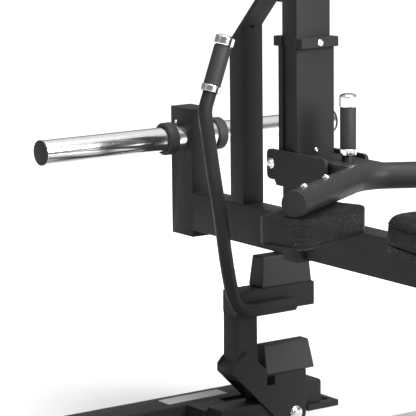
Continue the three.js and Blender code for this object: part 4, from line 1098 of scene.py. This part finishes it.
def swell(thing, voxel, cap):
    """Voxel remesh, then cloth with pressure, with no point moved further than cap."""
    for other in bpy.context.selected_objects:
        other.select_set(False)
    bpy.context.view_layer.objects.active = thing
    thing.select_set(True)
    remesh = thing.modifiers.new("voxels", "REMESH")
    remesh.mode = "VOXEL"
    remesh.voxel_size = voxel
    bpy.ops.object.modifier_apply(modifier=remesh.name)
    rest = read_points(thing)
    cloth = thing.modifiers.new("padding", "CLOTH")
    cloth.settings.use_pressure = True
    cloth.settings.uniform_pressure_force = SWELL_PRESSURE
    cloth.settings.effector_weights.gravity = 0
    cloth.settings.quality = 5
    scene = bpy.context.scene
    for frame_number in range(1, SWELL_FRAMES + 1):
        scene.frame_set(frame_number)
    bpy.ops.object.modifier_apply(modifier=cloth.name)
    scene.frame_set(1)
    moved = read_points(thing) - rest
    length = np.linalg.norm(moved, axis=1)[:, None]
    moved *= np.minimum(1, cap / np.maximum(length, 1e-9))
    write_points(thing, rest + moved)
    print(thing.name, "swelled by", round(float(length.max()) * 1000, 1), "mm before the cap")


def smooth_piece(thing):
    """Smooth shading and one level of subdivision."""
    thing.data.shade_smooth()
    subdivision = thing.modifiers.new("subdivision", "SUBSURF")
    subdivision.levels = 1
    subdivision.render_levels = 1


def flatten_back(thing):
    """Points below z = 0 are laid on it, because the cushion is stapled to a flat board."""
    points = read_points(thing)
    points[:, 2] = np.maximum(points[:, 2], 0.0)
    write_points(thing, points)


def welt(name, cushion, length, depth, corner, height):
    """A thin cord sewn round the side: each outline point is drawn in to the cushion's skin.

    Circles run round its path: path + r (cos a n + sin a z), with n square to the path and to z.
    """
    half_scale = WELT_START_SCALE / 2
    loop = outline(
        length * half_scale, depth * half_scale, corner * WELT_START_SCALE,
        per_corner=12, per_side=16)
    tree = BVHTree.FromObject(cushion, bpy.context.evaluated_depsgraph_get())
    found = []
    for x, y in loop:
        start = Vector((x, y, height))
        inward = Vector((-x, -y, 0)).normalized()
        hit = tree.ray_cast(start, inward)[0]
        found.append(hit if hit is not None else start)
    path = np.array(found)
    path = (np.roll(path, 1, axis=0) + path * 2 + np.roll(path, -1, axis=0)) / 4
    tangent = np.roll(path, -1, axis=0) - np.roll(path, 1, axis=0)
    tangent /= np.linalg.norm(tangent, axis=1)[:, None]
    upward = np.tile((0.0, 0.0, 1.0), (len(path), 1))
    side = np.cross(tangent, upward)
    side /= np.linalg.norm(side, axis=1)[:, None]
    angle = np.linspace(0, 2 * np.pi, WELT_STEPS, endpoint=False)
    cosine, sine = np.cos(angle)[None, :, None], np.sin(angle)[None, :, None]
    ring = cosine * side[:, None] + sine * upward[:, None]
    return surface(name, path[:, None] + WELT_RADIUS * ring, closed_rows=True)


def cushion_piece(name, size, rounding, welt_drop, voxel, cap, place):
    """Makes, swells and places one cushion, its welt with it; place is a 4x4 matrix.

    size is its length, depth and thickness; rounding is its corner, edge and crown.
    """
    length, depth, thickness = size
    corner = rounding[0]
    around = 2 * CUSHION_SLACK
    start = cushion_points(length - around, depth - around, thickness - CUSHION_SLACK, *rounding)
    cushion = surface(name, start)
    swell(cushion, voxel, cap)
    flatten_back(cushion)
    smooth_piece(cushion)
    bpy.context.view_layer.update()
    cord = welt(name + "_welt", cushion, length, depth, corner, thickness - welt_drop)
    for thing in (cushion, cord):
        thing.data.transform(place)
        thing.data.update()
    return cushion, cord


# %% Thigh pads
PAD_SIZE = (0.200, 0.108, 0.058)
PAD_ROUNDING = (0.015, 0.003, 0.002)
PAD_TURN = math.radians(15.9)
PAD_WELT_DROP = 0.006
PAD_VOXEL = 0.0035
PAD_SWELL = 0.0015
for side, node in ((-1, "thigh_pad_left"), (1, "thigh_pad_right")):
    low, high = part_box(node)
    middle = (low + high) / 2
    place = (
        Matrix.Translation((middle.x, middle.y, high.z))
        @ Matrix.Rotation(math.pi / 2 - side * PAD_TURN, 4, "Z")
        @ Matrix.Rotation(math.pi, 4, "X")
    )
    pad, cord = cushion_piece(
        node + "_cushion", PAD_SIZE, PAD_ROUNDING, PAD_WELT_DROP, PAD_VOXEL, PAD_SWELL, place)
    fit(pad, "pad_leather", "carriage", [node])
    fit(cord, "pad_leather", "carriage")

# %% Seat
SEAT_DEPTH, SEAT_WIDTH, SEAT_THICKNESS = 0.334, 0.354, 0.0627
SEAT_ROUNDING = (0.024, 0.018, 0.008)
SEAT_TILT = math.radians(5)
SEAT_WELT_DROP = 0.025
SEAT_VOXEL = 0.006
SEAT_FRONT_FROM_HORN = 0.8405
SEAT_TOP = 0.596
SEAT_SWELL = 0.003
seat_place = (
    Matrix.Translation((horn_axis.x + SEAT_FRONT_FROM_HORN, 0, SEAT_TOP))
    @ Matrix.Rotation(SEAT_TILT, 4, "Y")
    @ Matrix.Translation((SEAT_DEPTH / 2, 0, -SEAT_THICKNESS))
)
seat, seat_cord = cushion_piece(
    "seat_cushion_piece", (SEAT_DEPTH, SEAT_WIDTH, SEAT_THICKNESS), SEAT_ROUNDING,
    SEAT_WELT_DROP, SEAT_VOXEL, SEAT_SWELL, seat_place,
)
fit(seat, "pad_leather", "frame", ["seat_cushion"])
fit(seat_cord, "pad_leather", "frame")


# %% [markdown]
# ## Trim
# Plugs and welded caps close the tube ends, and a bare plate sits on top of the front beam.

# %% Plugs and the bare plate
SLAB_CORNER_SHARE = 0.12
SLAB_EDGE = 0.001
CHAMFER_SHARE = 0.3


def slab(name, low, high, body, slot, edge=SLAB_EDGE):
    """A thin block between two corners, made of rings of a rounded outline.

    Each ring is drawn in by an inset and lifted to a rise along the thin axis.
    """
    low, high = np.array(low, float), np.array(high, float)
    size = high - low
    thin = int(np.argmin(size))
    wide = [axis for axis in range(3) if axis != thin]
    corner = min(size[wide[0]], size[wide[1]]) * SLAB_CORNER_SHARE
    loop = outline(size[wide[0]] / 2, size[wide[1]] / 2, corner, per_corner=6, per_side=4)
    reach = size[thin]
    bulge = CHAMFER_SHARE * edge
    half = size[wide[0]] / 2
    side_steps = ((half, 0), (0, 0), (0, reach - edge))
    face_steps = ((bulge, reach - bulge), (edge, reach), (half, reach))
    rings = []
    for inset, rise in side_steps + face_steps:
        points = np.empty((len(loop), 3))
        points[:, wide] = loop * (1 - inset / half)
        points[:, thin] = rise
        rings.append(points)
    centre = (low + high) / 2
    centre[thin] = low[thin]
    return fit(surface(name, np.stack(rings) + centre), slot, body)


PLUG_INSET = 0.0005
PLUG_REACH = 0.003
WELDED_CAP_REACH = 0.0008
MOUNT_CAP_REACH = 0.0015
FOOT_TUBE_HEIGHT = 0.030


def close_ends(name, low, high, body, slot, reach, edge=SLAB_EDGE):
    """A slab on the left end and one on the right end of a tube that lies across the machine."""
    ends = (("left", low.y - reach, low.y), ("right", high.y, high.y + reach))
    for side_name, start, stop in ends:
        slab(
            f"{name}_plug_{side_name}",
            (low.x + PLUG_INSET, start, low.z + PLUG_INSET),
            (high.x - PLUG_INSET, stop, high.z - PLUG_INSET),
            body, slot, edge,
        )


PLUGGED_TUBES = (
    ("front", "front_beam", "frame", PLUG_REACH, "black_plastic"),
    ("rear", "rear_beam", "frame", PLUG_REACH, "black_plastic"),
    ("crossbar", "catch_crossbar", "catch", WELDED_CAP_REACH, "frame_coat"),
    ("mount", "catch_mount", "frame", MOUNT_CAP_REACH, "frame_coat"),
)
for name, node, body, reach, slot in PLUGGED_TUBES:
    close_ends(name, *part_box(node), body, slot, reach, reach / 2)

PLATE_SIZE = Vector((0.040, 0.152, 0.0012))
PLATE_SETBACK = 0.019
PLATE_LEFT = 0.107
BARE_PLATE_EDGE = 0.0004
beam_low, beam_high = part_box("front_beam")
plate_low = Vector((beam_low.x + PLATE_SETBACK, -PLATE_LEFT, beam_high.z))
slab("bare_plate", plate_low, plate_low + PLATE_SIZE, "frame", "tread_coat", BARE_PLATE_EDGE)

foot_low, foot_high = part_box("foot_tube")
tread_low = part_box("foot_tread")[0]
foot_low.z = tread_low.z - FOOT_TUBE_HEIGHT
foot_high.z = tread_low.z
close_ends("foot", foot_low, foot_high, "frame", "black_plastic", PLUG_REACH)

# %% The frame's size
print("cad", [round(v, 4) for v in cad_low], [round(v, 4) for v in cad_high])
